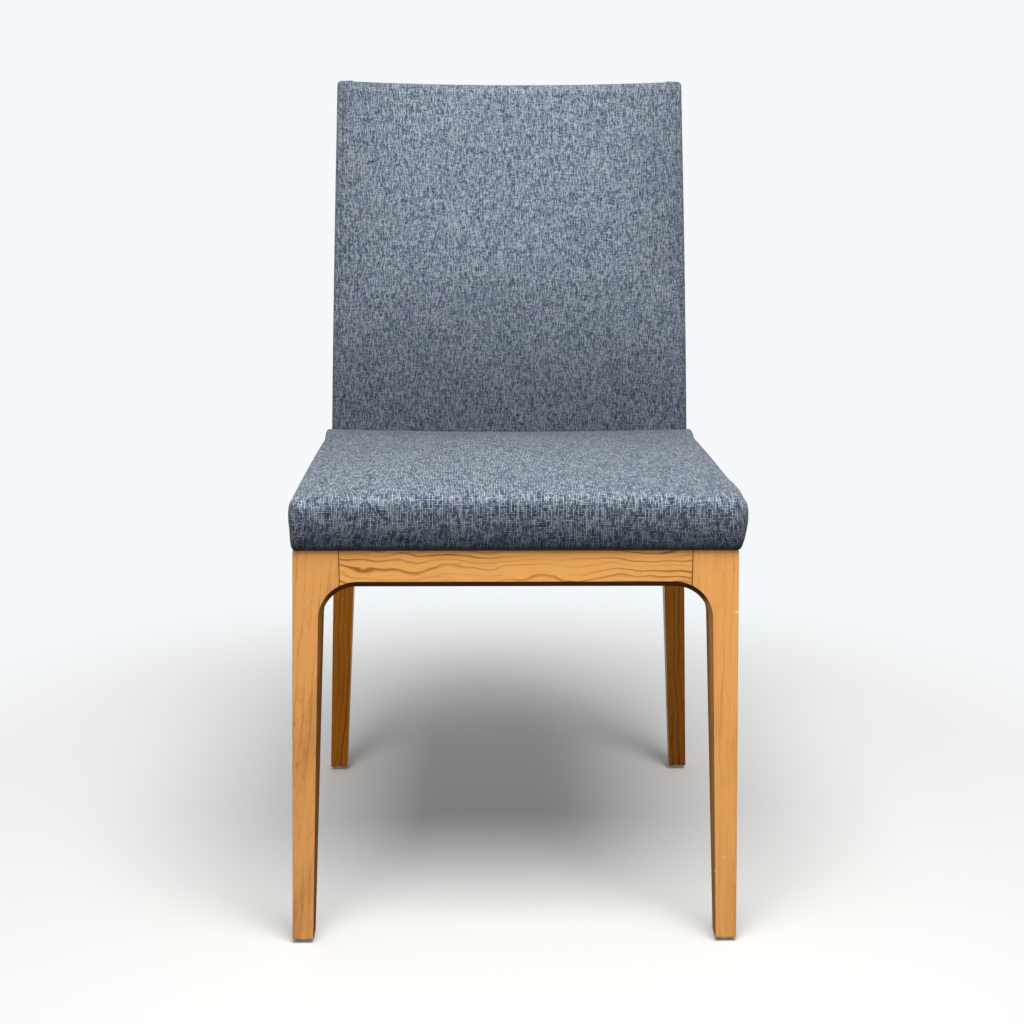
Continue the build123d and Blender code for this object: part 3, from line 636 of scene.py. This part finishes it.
def roundedLoop(width, height, radii, start):
    # Outline of a rectangle with four rounded corners, as place and outward direction by length walked
    corners = [
        (radii[0], radii[0], 270, 180, radii[0]),
        (radii[1], height - radii[1], 180, 90, radii[1]),
        (width - radii[2], height - radii[2], 90, 0, radii[2]),
        (width - radii[3], radii[3], 0, -90, radii[3]),
    ]
    places, ways = [np.array([[start, 0.0]])], [np.array([[0.0, -1.0]])]
    for x, y, first, last, radius in corners:
        turn = np.radians(np.linspace(first, last, 40))
        way = np.stack([np.cos(turn), np.sin(turn)], 1)
        places.append(np.array([x, y]) + radius * way)
        ways.append(way)
    places, ways = np.concatenate(places + [places[0]]), np.concatenate(ways + [ways[0]])
    walked = np.concatenate([[0], np.cumsum(np.linalg.norm(np.diff(places, axis=0), axis=1))])

    def at(length):
        place = np.stack([np.interp(length, walked, places[:, k]) for k in (0, 1)])
        way = np.stack([np.interp(length, walked, ways[:, k]) for k in (0, 1)])
        way /= np.maximum(np.linalg.norm(way, axis=0), 1e-9)
        return place[0], place[1], way[0], way[1]

    return at, walked[-1]


def spacedBy(marks, steps):
    # Places from the first mark to the last, each stretch with its own step
    runs = []
    for start, end, step in zip(marks[:-1], marks[1:], steps):
        runs.append(np.linspace(start, end, max(2, int(round((end - start) / step)) + 1))[:-1])
    return np.concatenate(runs + [[marks[-1]]])


def gridMesh(points, rowPlaces, loopPlaces, loopLength, closed=True, turned=False):
    # Quads of a grid whose second direction is a loop, with doubled points merged,
    # and with the lengths along both directions as its weave map
    rows, columns = points.shape[:2]
    flat = points.reshape(-1, 3)
    fine = np.round(flat * 2e5).astype(np.int64)
    _, first, merged = np.unique(fine, axis=0, return_index=True, return_inverse=True)
    merged = merged.reshape(rows, columns)
    i, j = np.meshgrid(np.arange(rows - 1), np.arange(columns if closed else columns - 1), indexing="ij")
    rowAt = np.stack([i, i, i + 1, i + 1], -1).reshape(-1, 4)
    loopAt = np.stack([j, j + 1, j + 1, j], -1).reshape(-1, 4)
    faces = merged[rowAt, loopAt % columns]
    same = faces == np.roll(faces, -1, axis=1)
    quads, tris = np.nonzero(same.sum(1) == 0)[0], np.nonzero(same.sum(1) == 1)[0]
    keep = np.sort(np.argsort(same[tris], axis=1, kind="stable")[:, :3], axis=1)
    lengths = np.append(loopPlaces, loopLength)
    rowAll = np.concatenate([rowAt[quads].ravel(), np.take_along_axis(rowAt[tris], keep, 1).ravel()])
    loopAll = np.concatenate([loopAt[quads].ravel(), np.take_along_axis(loopAt[tris], keep, 1).ravel()])
    pair = [rowPlaces[rowAll], lengths[loopAll]] if turned else [lengths[loopAll], rowPlaces[rowAll]]
    faces = faces[quads].tolist() + np.take_along_axis(faces[tris], keep, 1).tolist()
    return flat[first], faces, np.stack(pair, -1), merged


def gridPiece(name, shells):
    # One object from one or more grids
    verts, faces, maps, start = [], [], [], 0
    for shellVerts, shellFaces, shellMap, _ in shells:
        verts.append(shellVerts)
        faces += [[corner + start for corner in face] for face in shellFaces] if start else shellFaces
        maps.append(shellMap)
        start += len(shellVerts)
    mesh = bpy.data.meshes.new(name)
    mesh.from_pydata(np.concatenate(verts).tolist(), [], faces)
    layer = mesh.uv_layers.new(name="weave")
    layer.data.foreach_set("uv", np.concatenate(maps).astype(np.float32).ravel())
    mesh.validate()
    outward = bmesh.new()
    outward.from_mesh(mesh)
    bmesh.ops.recalc_face_normals(outward, faces=outward.faces)
    outward.to_mesh(mesh)
    outward.free()
    mesh.polygons.foreach_set("use_smooth", np.ones(len(mesh.polygons), bool))
    piece = bpy.data.objects.new(name, mesh)
    scene.collection.objects.link(piece)
    return piece


def readAll(items, label, width, kind=float):
    values = np.empty(len(items) * width, kind)
    items.foreach_get(label, values)
    return values.reshape(-1, width) if width > 1 else values


def gridNormals(points):
    # Outward directions of a grid, from the differences along both directions
    normal = np.cross(np.roll(points, -1, 1) - np.roll(points, 1, 1), np.gradient(points, axis=0))
    normal /= np.maximum(np.linalg.norm(normal, axis=2, keepdims=True), 1e-12)
    middle = points.reshape(-1, 3).mean(0)
    return normal * np.sign(np.mean(np.sum(normal * (points - middle), axis=2)))


def swell(name, points, held, pressure, stiffness):
    # Cloth filled with air: how far each grid point moves along its outward direction
    rows, columns = points.shape[:2]
    shell = gridMesh(points, np.arange(rows) * 1.0, np.arange(columns) * 1.0, columns * 1.0)
    piece = gridPiece(name, [shell])
    merged = shell[3]
    group = piece.vertex_groups.new(name="held")
    group.add(np.unique(merged[held]).tolist(), 1.0, "REPLACE")
    sim = piece.modifiers.new("air", "CLOTH")
    setAll(sim.settings, dict(
        quality=6, mass=0.3, tension_stiffness=stiffness, compression_stiffness=stiffness,
        shear_stiffness=stiffness * 0.5, bending_stiffness=1.5, use_pressure=True, uniform_pressure_force=pressure,
        vertex_group_mass="held",
    ))
    sim.settings.effector_weights.gravity = 0.0
    sim.point_cache.frame_start, sim.point_cache.frame_end = 1, 20
    for moment in range(1, 21):
        scene.frame_set(moment)
    shaped = piece.evaluated_get(bpy.context.evaluated_depsgraph_get()).to_mesh()
    moved = readAll(shaped.vertices, "co", 3)[merged]
    mesh = piece.data
    bpy.data.objects.remove(piece)
    bpy.data.meshes.remove(mesh)
    scene.frame_set(1)
    return np.sum((moved - points) * gridNormals(points), axis=2)


def padSwell(label, pad, points, held):
    # The pad starts a little small and swells; large moves level off at its own caps, outwards and inwards
    small = points - gridNormals(points) * pad["start"] * (~held)[..., None]
    rise = swell(label + "Air", small, held, pad["pressure"], pad["stiffness"]) - pad["start"] * ~held
    print(label, "swells by", np.round(np.percentile(rise * 1000, [1, 25, 50, 75, 99]), 2), "mm")
    return np.where(rise > 0, pad["rise"], pad["sink"]) * np.tanh(rise / pad["reach"])


def spread(values, rowsFrom, loopsFrom, rowsTo, loopsTo, loopLength):
    # A coarse grid of values read at the places of a finer one
    wrapped = np.concatenate([values, values[:, :1]], 1)
    across = np.stack([np.interp(loopsTo, np.append(loopsFrom, loopLength), row) for row in wrapped])
    return np.stack([np.interp(rowsTo, rowsFrom, column) for column in across.T], 1)


# Back pad: sizes, and the face that the seat meets
back = dict(
    bottom=0.4133, top=0.8515, dip=0.0045, padding=0.017, crownLow=0.010, crownMiddle=0.008, crownHigh=0.003,
    boardAndCloth=0.0045, cloth=0.0027, wall=0.0013, shift=-0.0003, thickness=0.052, half=0.205,
    edgeRadius=0.006, frontTopRadius=0.009, rearTopRadius=0.007, sideTopRadius=0.005, topShrink=0.016, topInset=0.016,
    panelGap=0.0044, roofGap=0.0004, roofHalf=0.185,
    stripFront=0.004, stripRear=0.0006, stripLift=0.0003, stripThick=0.0012,
    seamInset=0.0065, seamDrop=0.0050, seamDepth=0.0011, seamWidth=0.0013,
    puff=0.0007, puffPlace=0.005, puffReach=0.0035,
    coarse=0.0080, fine=0.0030, start=0.0005, pressure=0.4, stiffness=26.0, rise=0.0025, sink=0.0002, reach=0.006,
    rearTight=0.35,
)


def backFace(height, share):
    # The back's cloth face: the posts' front, less the pad and its crown
    middle = (back["bottom"] + back["top"]) / 2
    low = lerp(back["crownLow"], back["crownMiddle"], (height - back["bottom"]) / (middle - back["bottom"]))
    high = lerp(back["crownMiddle"], back["crownHigh"], (height - middle) / (back["top"] - middle))
    return postFront(height) - back["padding"] - np.where(height < middle, low, high) * (1 - share**2)


# Seat pad
seat = dict(
    bottom=0.4133, depth=0.410, thickness=0.050, frontHalf=0.221, rearHalf=0.2150, taper=0.427,
    frontTop=0.464, middleTop=0.460, rearTop=0.452, crownFront=0.005, crownMiddle=0.006, crownRear=-0.0015,
    overhang=0.0065, tuck=0.0042, backGap=0.0008, sideTuck=0.0056, tuckHeight=0.6, shiftFront=0.0024, shiftRear=-0.0008,
    shiftLow=0.3, bulge=0.0012, bulgePlace=0.16, bulgeReach=0.09, frontLower=0.004, rearLower=0.003, sideLower=0.0028,
    shoulderRadius=0.015, rearRadius=0.005, sideRadius=0.011, sideShrink=0.020, closeFront=0.022, closeRear=0.385,
    boardRoom=0.0118, rimInner=0.0095, rimOuter=0.0083, rimHeight=0.0015,
    turnedIn=0.0365, turnedOut=0.0080, turnedThick=0.0010, turnedLift=0.0001,
    coarse=0.0075, fine=0.0030, start=0.0005, pressure=0.4, stiffness=22.0, rise=0.0022, sink=0.0006, reach=0.006,
    heldBand=0.004,
)
seatLoop, seatLoopLength = roundedLoop(
    seat["depth"], seat["thickness"],
    (seat["frontLower"], seat["shoulderRadius"], seat["rearRadius"], seat["rearLower"]), seat["depth"] / 2,
)
seatFlat = seat["frontHalf"] - seat["sideRadius"]
seatRound = seat["sideRadius"] * math.pi / 2
seatReach = seatFlat + seatRound + seat["sideShrink"]


def seatHalf(depth):
    return lerp(seat["frontHalf"], seat["rearHalf"], depth / seat["taper"])


def seatSurface(across, round_):
    # A side outline carried from left to right; near each side it draws in along a quarter circle,
    # and then closes flat to a line half way up the side
    p, h, wayP, wayH = (item[None, :] for item in seatLoop(round_))
    a, b = p / seat["depth"], h / seat["thickness"]
    s = across[:, None]
    turn = np.clip((np.abs(s) - seatFlat) / seat["sideRadius"], 0, math.pi / 2)
    close = np.clip((np.abs(s) - seatFlat - seatRound) / seat["sideShrink"], 0, 1)
    rounder = easeIn(0.1, 0.5, b) * (1 - easeIn(0.88, 0.97, a))
    radius = lerp(seat["sideLower"], seat["sideRadius"], rounder)
    up = lerp(b, 0.5, close)
    # The right side is a little fuller near the front, and both sides draw in towards the lower edge
    fuller = seat["bulge"] * np.exp(-(((a - seat["bulgePlace"]) / seat["bulgeReach"]) ** 2)) * easeIn(0.2, 0.7, up)
    drawn = seat["sideTuck"] * np.clip(1 - up / seat["tuckHeight"], 0, 1) ** 1.5
    half = seatHalf(a * seat["depth"]) + fuller - drawn
    x = np.clip(s / seatFlat, -1, 1) * (half - radius) + np.sign(s) * radius * np.sin(turn)
    share = x / half
    arch = 1 - share**2
    frontTop = seat["frontTop"] + seat["crownFront"] * arch
    middleTop = seat["middleTop"] + seat["crownMiddle"] * arch
    rearTop = seat["rearTop"] + seat["crownRear"] * arch
    top = frontTop * (1 - a) * (1 - 2 * a) + middleTop * 4 * a * (1 - a) + rearTop * a * (2 * a - 1)
    z = lerp(seat["bottom"], top, b)
    bulge = seat["tuck"] + (seat["overhang"] - seat["tuck"]) * (1 - (2 * b - 1) ** 2)
    y = lerp(-bulge, backFace(z, share) - seat["backGap"], a)
    inset = radius * (1 - np.cos(turn))
    y, z = y - wayP * inset, z - wayH * inset
    y = lerp(y, np.clip(y, seat["closeFront"], seat["closeRear"]), close)
    z = lerp(z, lerp(seat["bottom"], top, 0.5), close)
    shift = lerp(seat["shiftFront"], seat["shiftRear"], a) * lerp(seat["shiftLow"], 1.0, easeIn(0.0, 0.5, up))
    return np.stack([x + shift + fuller, y + depthZero, z], -1)


def boardRoom(points):
    # The underside is raised over the board, and left as a narrow rim round it
    x, y, z = points[..., 0], points[..., 1] - depthZero, points[..., 2]
    rear = backFace(seat["bottom"], np.clip(x / seat["rearHalf"], -1, 1)) - seat["backGap"]
    edge = np.minimum(seatHalf(y) - np.abs(x), np.minimum(y + seat["overhang"], rear - y))
    under = (z < seat["bottom"] + seat["rimHeight"]) & (edge > seat["rimOuter"])
    lifted = points.copy()
    lifted[..., 2] += under * seat["boardRoom"] * easeIn(seat["rimOuter"], seat["rimInner"], edge)
    return lifted


def seatTurnedIn():
    # The cloth turned in under the board: a flat band carried round the seat's outline
    run = np.linspace(0, 1, 61)[:-1]
    one = np.ones(60)
    across = np.concatenate([2 * run - 1, one, 1 - 2 * run, -one, [-1.0]])[:, None]
    deep = np.concatenate([0 * run, run, one, 1 - run, [0.0]])[:, None]
    inward = np.concatenate([np.linspace(0, 1, 10), np.linspace(1, 0, 10)])[None, :]
    margin = lerp(seat["turnedOut"], seat["turnedIn"], inward)
    rear = backFace(seat["bottom"], across) - seat["backGap"] - margin
    y = lerp(margin - seat["overhang"], rear, deep)
    x = across * (seatHalf(y) - margin)
    z = seat["bottom"] + seat["turnedLift"] + seat["turnedThick"] * np.repeat([0.0, 1.0], 10)[None, :] + 0 * x
    points = np.stack([x, y + depthZero, z], -1)
    return gridMesh(points, np.linspace(0, 1.6, len(points)), np.linspace(0, 0.06, 21)[:-1], 0.06)


def seatPlaces(step):
    across = spacedBy(
        [-seatReach, -seatFlat - seatRound, -seatFlat, seatFlat, seatFlat + seatRound, seatReach],
        [step * 1.6, step * 0.8, step, step * 0.8, step * 1.6],
    )
    return across, spacedBy([0, seatLoopLength], [step])[:-1]


def makeSeatPad():
    across, round_ = seatPlaces(seat["fine"])
    points = seatSurface(across, round_)
    coarseAcross, coarseRound = seatPlaces(seat["coarse"])
    rough = seatSurface(coarseAcross, coarseRound)
    p, h, _, _ = seatLoop(coarseRound)
    band = (h < seat["heldBand"]) | (p > seat["depth"] - seat["heldBand"])
    held = np.repeat(band[None, :], len(coarseAcross), 0)
    rise = padSwell("seat", seat, rough, held)
    rise = spread(rise, coarseAcross, coarseRound, across, round_, seatLoopLength)
    points = points + gridNormals(points) * rise[..., None]
    pad = gridMesh(boardRoom(points), across, round_, seatLoopLength, turned=True)
    return gridPiece("seat_pad", [pad, seatTurnedIn()])


def sideWeave(piece):
    # On the flat sides the weave lies upright, as a panel cut on its own
    mesh = piece.data
    corners = readAll(mesh.polygons, "loop_total", 1, int)
    sideways = np.repeat(np.abs(readAll(mesh.polygons, "normal", 3)[:, 0]) > 0.72, corners)
    co = readAll(mesh.vertices, "co", 3)[readAll(mesh.loops, "vertex_index", 1, int)]
    layer = mesh.uv_layers["weave"].data
    uv = readAll(layer, "uv", 2)
    uv[sideways] = np.stack([co[sideways, 1] + 2.17, co[sideways, 2] + 1.31], -1)
    layer.foreach_set("uv", uv.astype(np.float32).ravel())


seatPad = makeSeatPad()
sideWeave(seatPad)
seatPad.data.materials.append(seatCloth)
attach(seatPad, "root")
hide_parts("seat_foam", "seat_cover")
print("seat pad made,", len(seatPad.data.polygons), "faces")

# Back pad
backLoop, backLoopLength = roundedLoop(2 * back["half"], back["thickness"], (back["edgeRadius"],) * 4, back["half"])
backRise = back["top"] - back["bottom"] - back["frontTopRadius"]
backRound = back["frontTopRadius"] * math.pi / 2
backReach = backRise + backRound + back["topShrink"]


def backSurface(up, round_):
    # A flat rounded outline carried up the bent posts; at the top it draws in along a quarter circle,
    # and then closes to a line along the top
    p, h, wayP, wayH = (item[None, :] for item in backLoop(round_))
    a, b = p / back["half"] - 1, 1 - h / back["thickness"]
    s = up[:, None]
    turn = np.clip((s - backRise) / back["frontTopRadius"], 0, math.pi / 2)
    close = np.clip((s - backRise - backRound) / back["topShrink"], 0, 1)
    top = back["top"] - back["dip"] * (1 - a**2)
    radius = lerp(back["frontTopRadius"], back["rearTopRadius"], b)
    radius = lerp(radius, back["sideTopRadius"], easeIn(0.965, 1.0, np.abs(a)))
    z = lerp(back["bottom"], top - radius, np.clip(s / backRise, 0, 1)) + radius * np.sin(turn)
    half = postHalf(z) + back["cloth"]
    inset = radius * (1 - np.cos(turn))
    front, rear = backFace(z, a), postRear(z) + back["boardAndCloth"]
    x = a * half - wayP * inset
    y = lerp(front, rear, b) + wayH * inset
    x = lerp(x, np.clip(x, back["topInset"] - half, half - back["topInset"]), close)
    y = lerp(y, lerp(front, rear, 0.5), close)
    return np.stack([x, y + depthZero, z], -1)


def backHollow(up, round_):
    # The room for posts, panel, rails and board: the same outline, drawn in by the cloth,
    # from the panel's face to the rear board
    p, h, _, _ = (item[None, :] for item in backLoop(round_))
    a, b = p / back["half"] - 1, 1 - h / back["thickness"]
    s = up[:, None]
    roof = spine["topHeight"] + back["roofGap"]
    z = np.clip(lerp(back["bottom"], roof, s), 0, roof)
    close = np.clip((s - 1) / 0.2, 0, 1)
    x = a * (postHalf(z) + back["cloth"] - back["wall"])
    front, rear = postFront(z) - back["panelGap"], postRear(z) + back["boardAndCloth"] - back["wall"]
    y = lerp(lerp(front, rear, b), lerp(front, rear, 0.5), close)
    x = lerp(x, np.clip(x, -back["roofHalf"], back["roofHalf"]), close)
    return np.stack([x, y + depthZero, z + 0 * x], -1)


def backUnderside():
    # A flat strip of cloth that closes the sleeve between the posts:
    # a thin rectangle carried from side to side
    across = np.linspace(-spine["inner"], spine["inner"], 90)
    run = np.concatenate([np.linspace(0, 1, 18), np.linspace(1, 0, 18)])[None, :]
    face = np.repeat([0.0, 1.0], 18)[None, :]
    share = across[:, None] / spine["bendHalf"]
    front = backFace(back["bottom"], share) + back["stripFront"]
    y = lerp(front, postRear(back["bottom"]) + back["boardAndCloth"] - back["stripRear"], run)
    z = back["bottom"] + back["stripLift"] + back["stripThick"] * face
    inner = np.stack([across[:, None] + 0 * y, y + depthZero, z + 0 * y], -1)
    ends = inner.mean(1, keepdims=True) + 0 * inner
    points = np.concatenate([ends[:1], inner, ends[-1:]])
    places = np.concatenate([[across[0] - 0.02], across, [across[-1] + 0.02]])
    return gridMesh(points, places, np.linspace(0, 0.12, 37)[:-1], 0.12, turned=True)


def backPlaces(step, seams):
    rise = [0, backRise - 0.012, backRise, backRise + backRound, backReach]
    if not seams:
        return spacedBy(rise, [step, step, step * 0.6, step * 1.2]), spacedBy([0, backLoopLength], [step])[:-1]
    left = backLoopLength / 2 - back["half"]  # the front's left corner, half way round from the rear's middle
    right = left + 2 * back["half"]
    marks = [0, left - 0.008, left + 0.022, right - 0.022, right + 0.008, backLoopLength]
    up = spacedBy(rise, [step, step * 0.35, step * 0.3, step * 1.2])
    return up, spacedBy(marks, [step, step * 0.28, step, step * 0.28, step])[:-1]


def sewnSeams(points, round_):
    # Sewn seam along both sides and the top of the front: a narrow groove, with a soft roll inside it
    _, h, _, _ = backLoop(round_)
    front = easeIn(back["thickness"] * 0.70, back["thickness"] * 0.93, h)[None, :]
    x, z = points[..., 0], points[..., 2]
    half = postHalf(z) + back["cloth"]
    top = back["top"] - back["dip"] * (1 - np.clip(x / half, -1, 1) ** 2)
    fromSide = half - np.abs(x) - back["seamInset"]
    fromTop = top - z - back["seamDrop"]
    inside = np.minimum(fromSide, fromTop)  # positive on the front panel, negative on the strip round it
    gap = np.where(inside > 0, inside, np.hypot(np.minimum(fromSide, 0), np.minimum(fromTop, 0)))
    groove = -back["seamDepth"] * np.exp(-((gap / back["seamWidth"]) ** 2))
    puff = back["puff"] * np.exp(-(((inside - back["puffPlace"]) / back["puffReach"]) ** 2))
    return (groove + puff) * front


def makeBackPad():
    up, round_ = backPlaces(back["fine"], True)
    points = backSurface(up, round_)
    rise = sewnSeams(points, round_)
    coarseUp, coarseRound = backPlaces(back["coarse"], False)
    rough = backSurface(coarseUp, coarseRound)
    held = np.zeros(rough.shape[:2], bool)
    held[:2] = True
    _, h, _, _ = backLoop(coarseRound)
    loose = lerp(back["rearTight"], 1.0, easeIn(0.2, 0.8, h / back["thickness"]))  # tight over the rear board
    lift = padSwell("back", back, rough, held) * loose[None, :]
    rise = rise + spread(lift, coarseUp, coarseRound, up, round_, backLoopLength)
    points = points + gridNormals(points) * rise[..., None]
    points[..., 0] += back["shift"]
    inner = np.concatenate([np.linspace(1.2, 1.0, 5)[:-1], np.linspace(1.0, 0, 30)])
    whole = np.concatenate([backHollow(inner, round_), points])
    sleeve = gridMesh(whole, np.concatenate([-inner, up]), round_, backLoopLength)
    return gridPiece("back_pad", [sleeve, backUnderside()])


backPad = makeBackPad()
backPad.data.materials.append(backCloth)
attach(backPad, "root")
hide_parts("back_foam", "back_cover")
print("back pad made,", len(backPad.data.polygons), "faces")

# Dust cover under the seat
dust = dict(margin=0.037, height=0.4143, thickness=0.0008, sag=0.0003)


def makeDustCover():
    # A flat sheet with the seat's outline, drawn in by a margin, which sags a little in the middle
    front = dust["margin"] - seat["overhang"]
    frontHalf = seatHalf(front) - dust["margin"]
    rearHalf = seat["rearHalf"] - dust["margin"]
    share = np.linspace(-1, 1, 62)[None, :]
    run = np.linspace(0, 1, 58)[:, None]
    rear = backFace(seat["bottom"], share) - seat["backGap"] - dust["margin"]
    y = lerp(front, rear, run)
    x = share * lerp(frontHalf, rearHalf, run)
    z = dust["height"] - dust["sag"] * (1 - share**2) * np.sin(math.pi * run)
    points = np.stack([x, y + depthZero, z], -1)
    grid = gridMesh(points, np.linspace(0, 0.34, 58), np.linspace(0, 0.36, 62), 0.36, closed=False)
    piece = gridPiece("seat_dust_sheet", [grid])
    thick = piece.modifiers.new("thickness", "SOLIDIFY")
    thick.thickness = dust["thickness"]
    thick.offset = 0.0
    flat = (2 * frontHalf, float(rear.max() - front))
    return piece, flat, min((frontHalf + rearHalf) * float(rear.mean() - front), flat[0] * flat[1])


dustCover, dustFlat, dustArea = makeDustCover()
dustCover.data.materials.append(fleece)
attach(dustCover, "root")
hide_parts("seat_dust_cover")
print("dust cover made")


# Stage
def backgroundRays(tree):
    # 1 for the rays that see the background: from the camera, in reflections and through glass
    path = addNode(tree, "ShaderNodeLightPath").outputs
    seen = plus(tree, path["Is Camera Ray"], path["Is Glossy Ray"], clamp=True)
    return plus(tree, seen, path["Is Transmission Ray"], clamp=True)


def mixShaders(tree, share, first, second, output):
    choose = addNode(tree, "ShaderNodeMixShader")
    for socket, value in zip(choose.inputs, (share, first.outputs[0], second.outputs[0])):
        feed(tree, socket, value)
    feed(tree, tree.nodes[output].inputs["Surface"], choose.outputs[0])


def makeFloor():
    reach = studio["floorReach"]
    mesh = bpy.data.meshes.new("floor")
    corners = [(-reach, -reach, 0), (reach, -reach, 0), (reach, reach, 0), (-reach, reach, 0)]
    mesh.from_pydata(corners, [], [(0, 1, 2, 3)])
    floor = bpy.data.objects.new("floor", mesh)
    scene.collection.objects.link(floor)
    material, tree, shader = newMaterial("paleFloor")
    seen = backgroundRays(tree)
    tone = blendTones(tree, seen, (*studio["floorBounce"], 1), (*studio["floorTone"], 1))
    feed(tree, shader.inputs["Base Color"], tone)
    setInputs(shader, {"Roughness": 0.9, "Specular IOR Level": 0.0})
    # Away from the chair the floor goes over into the pale background
    x, y, _ = partsOf(tree, objectPlace(tree))
    far = distance(tree, x, y)
    fade = times(tree, ramp(tree, far, studio["fadeStart"], studio["fadeEnd"]), seen)
    pale = addNode(tree, "ShaderNodeEmission")
    setInputs(pale, {"Color": (*studio["paleTone"], 1)})
    mixShaders(tree, fade, shader, pale, "Material Output")
    mesh.materials.append(material)


def makeSky():
    world = bpy.data.worlds.new("sky")
    scene.world = world
    world.use_nodes = True
    tree = world.node_tree
    light = tree.nodes["Background"]
    setInputs(light, {"Color": (*studio["skyTone"], 1), "Strength": studio["skyStrength"]})
    shown = addNode(tree, "ShaderNodeBackground")
    setInputs(shown, {"Color": (*studio["paleTone"], 1)})
    mixShaders(tree, backgroundRays(tree), light, shown, "World Output")


makeFloor()
makeSky()
softLight(
    "keyLight", place=(0.10, -1.02, 2.20), aim=(0, 0.0, 0.50), size=(1.7, 1.2), watts=53, tone=(1.0, 0.99, 0.97))
softLight(
    "fillLight", place=(0.30, -2.90, 0.60), aim=(0, -0.2, 0.25), size=(1.6, 0.9), watts=7, tone=(1.0, 0.98, 0.95))
makeCamera()
scene.view_settings.view_transform = "Standard"
print("stage, light and camera set")
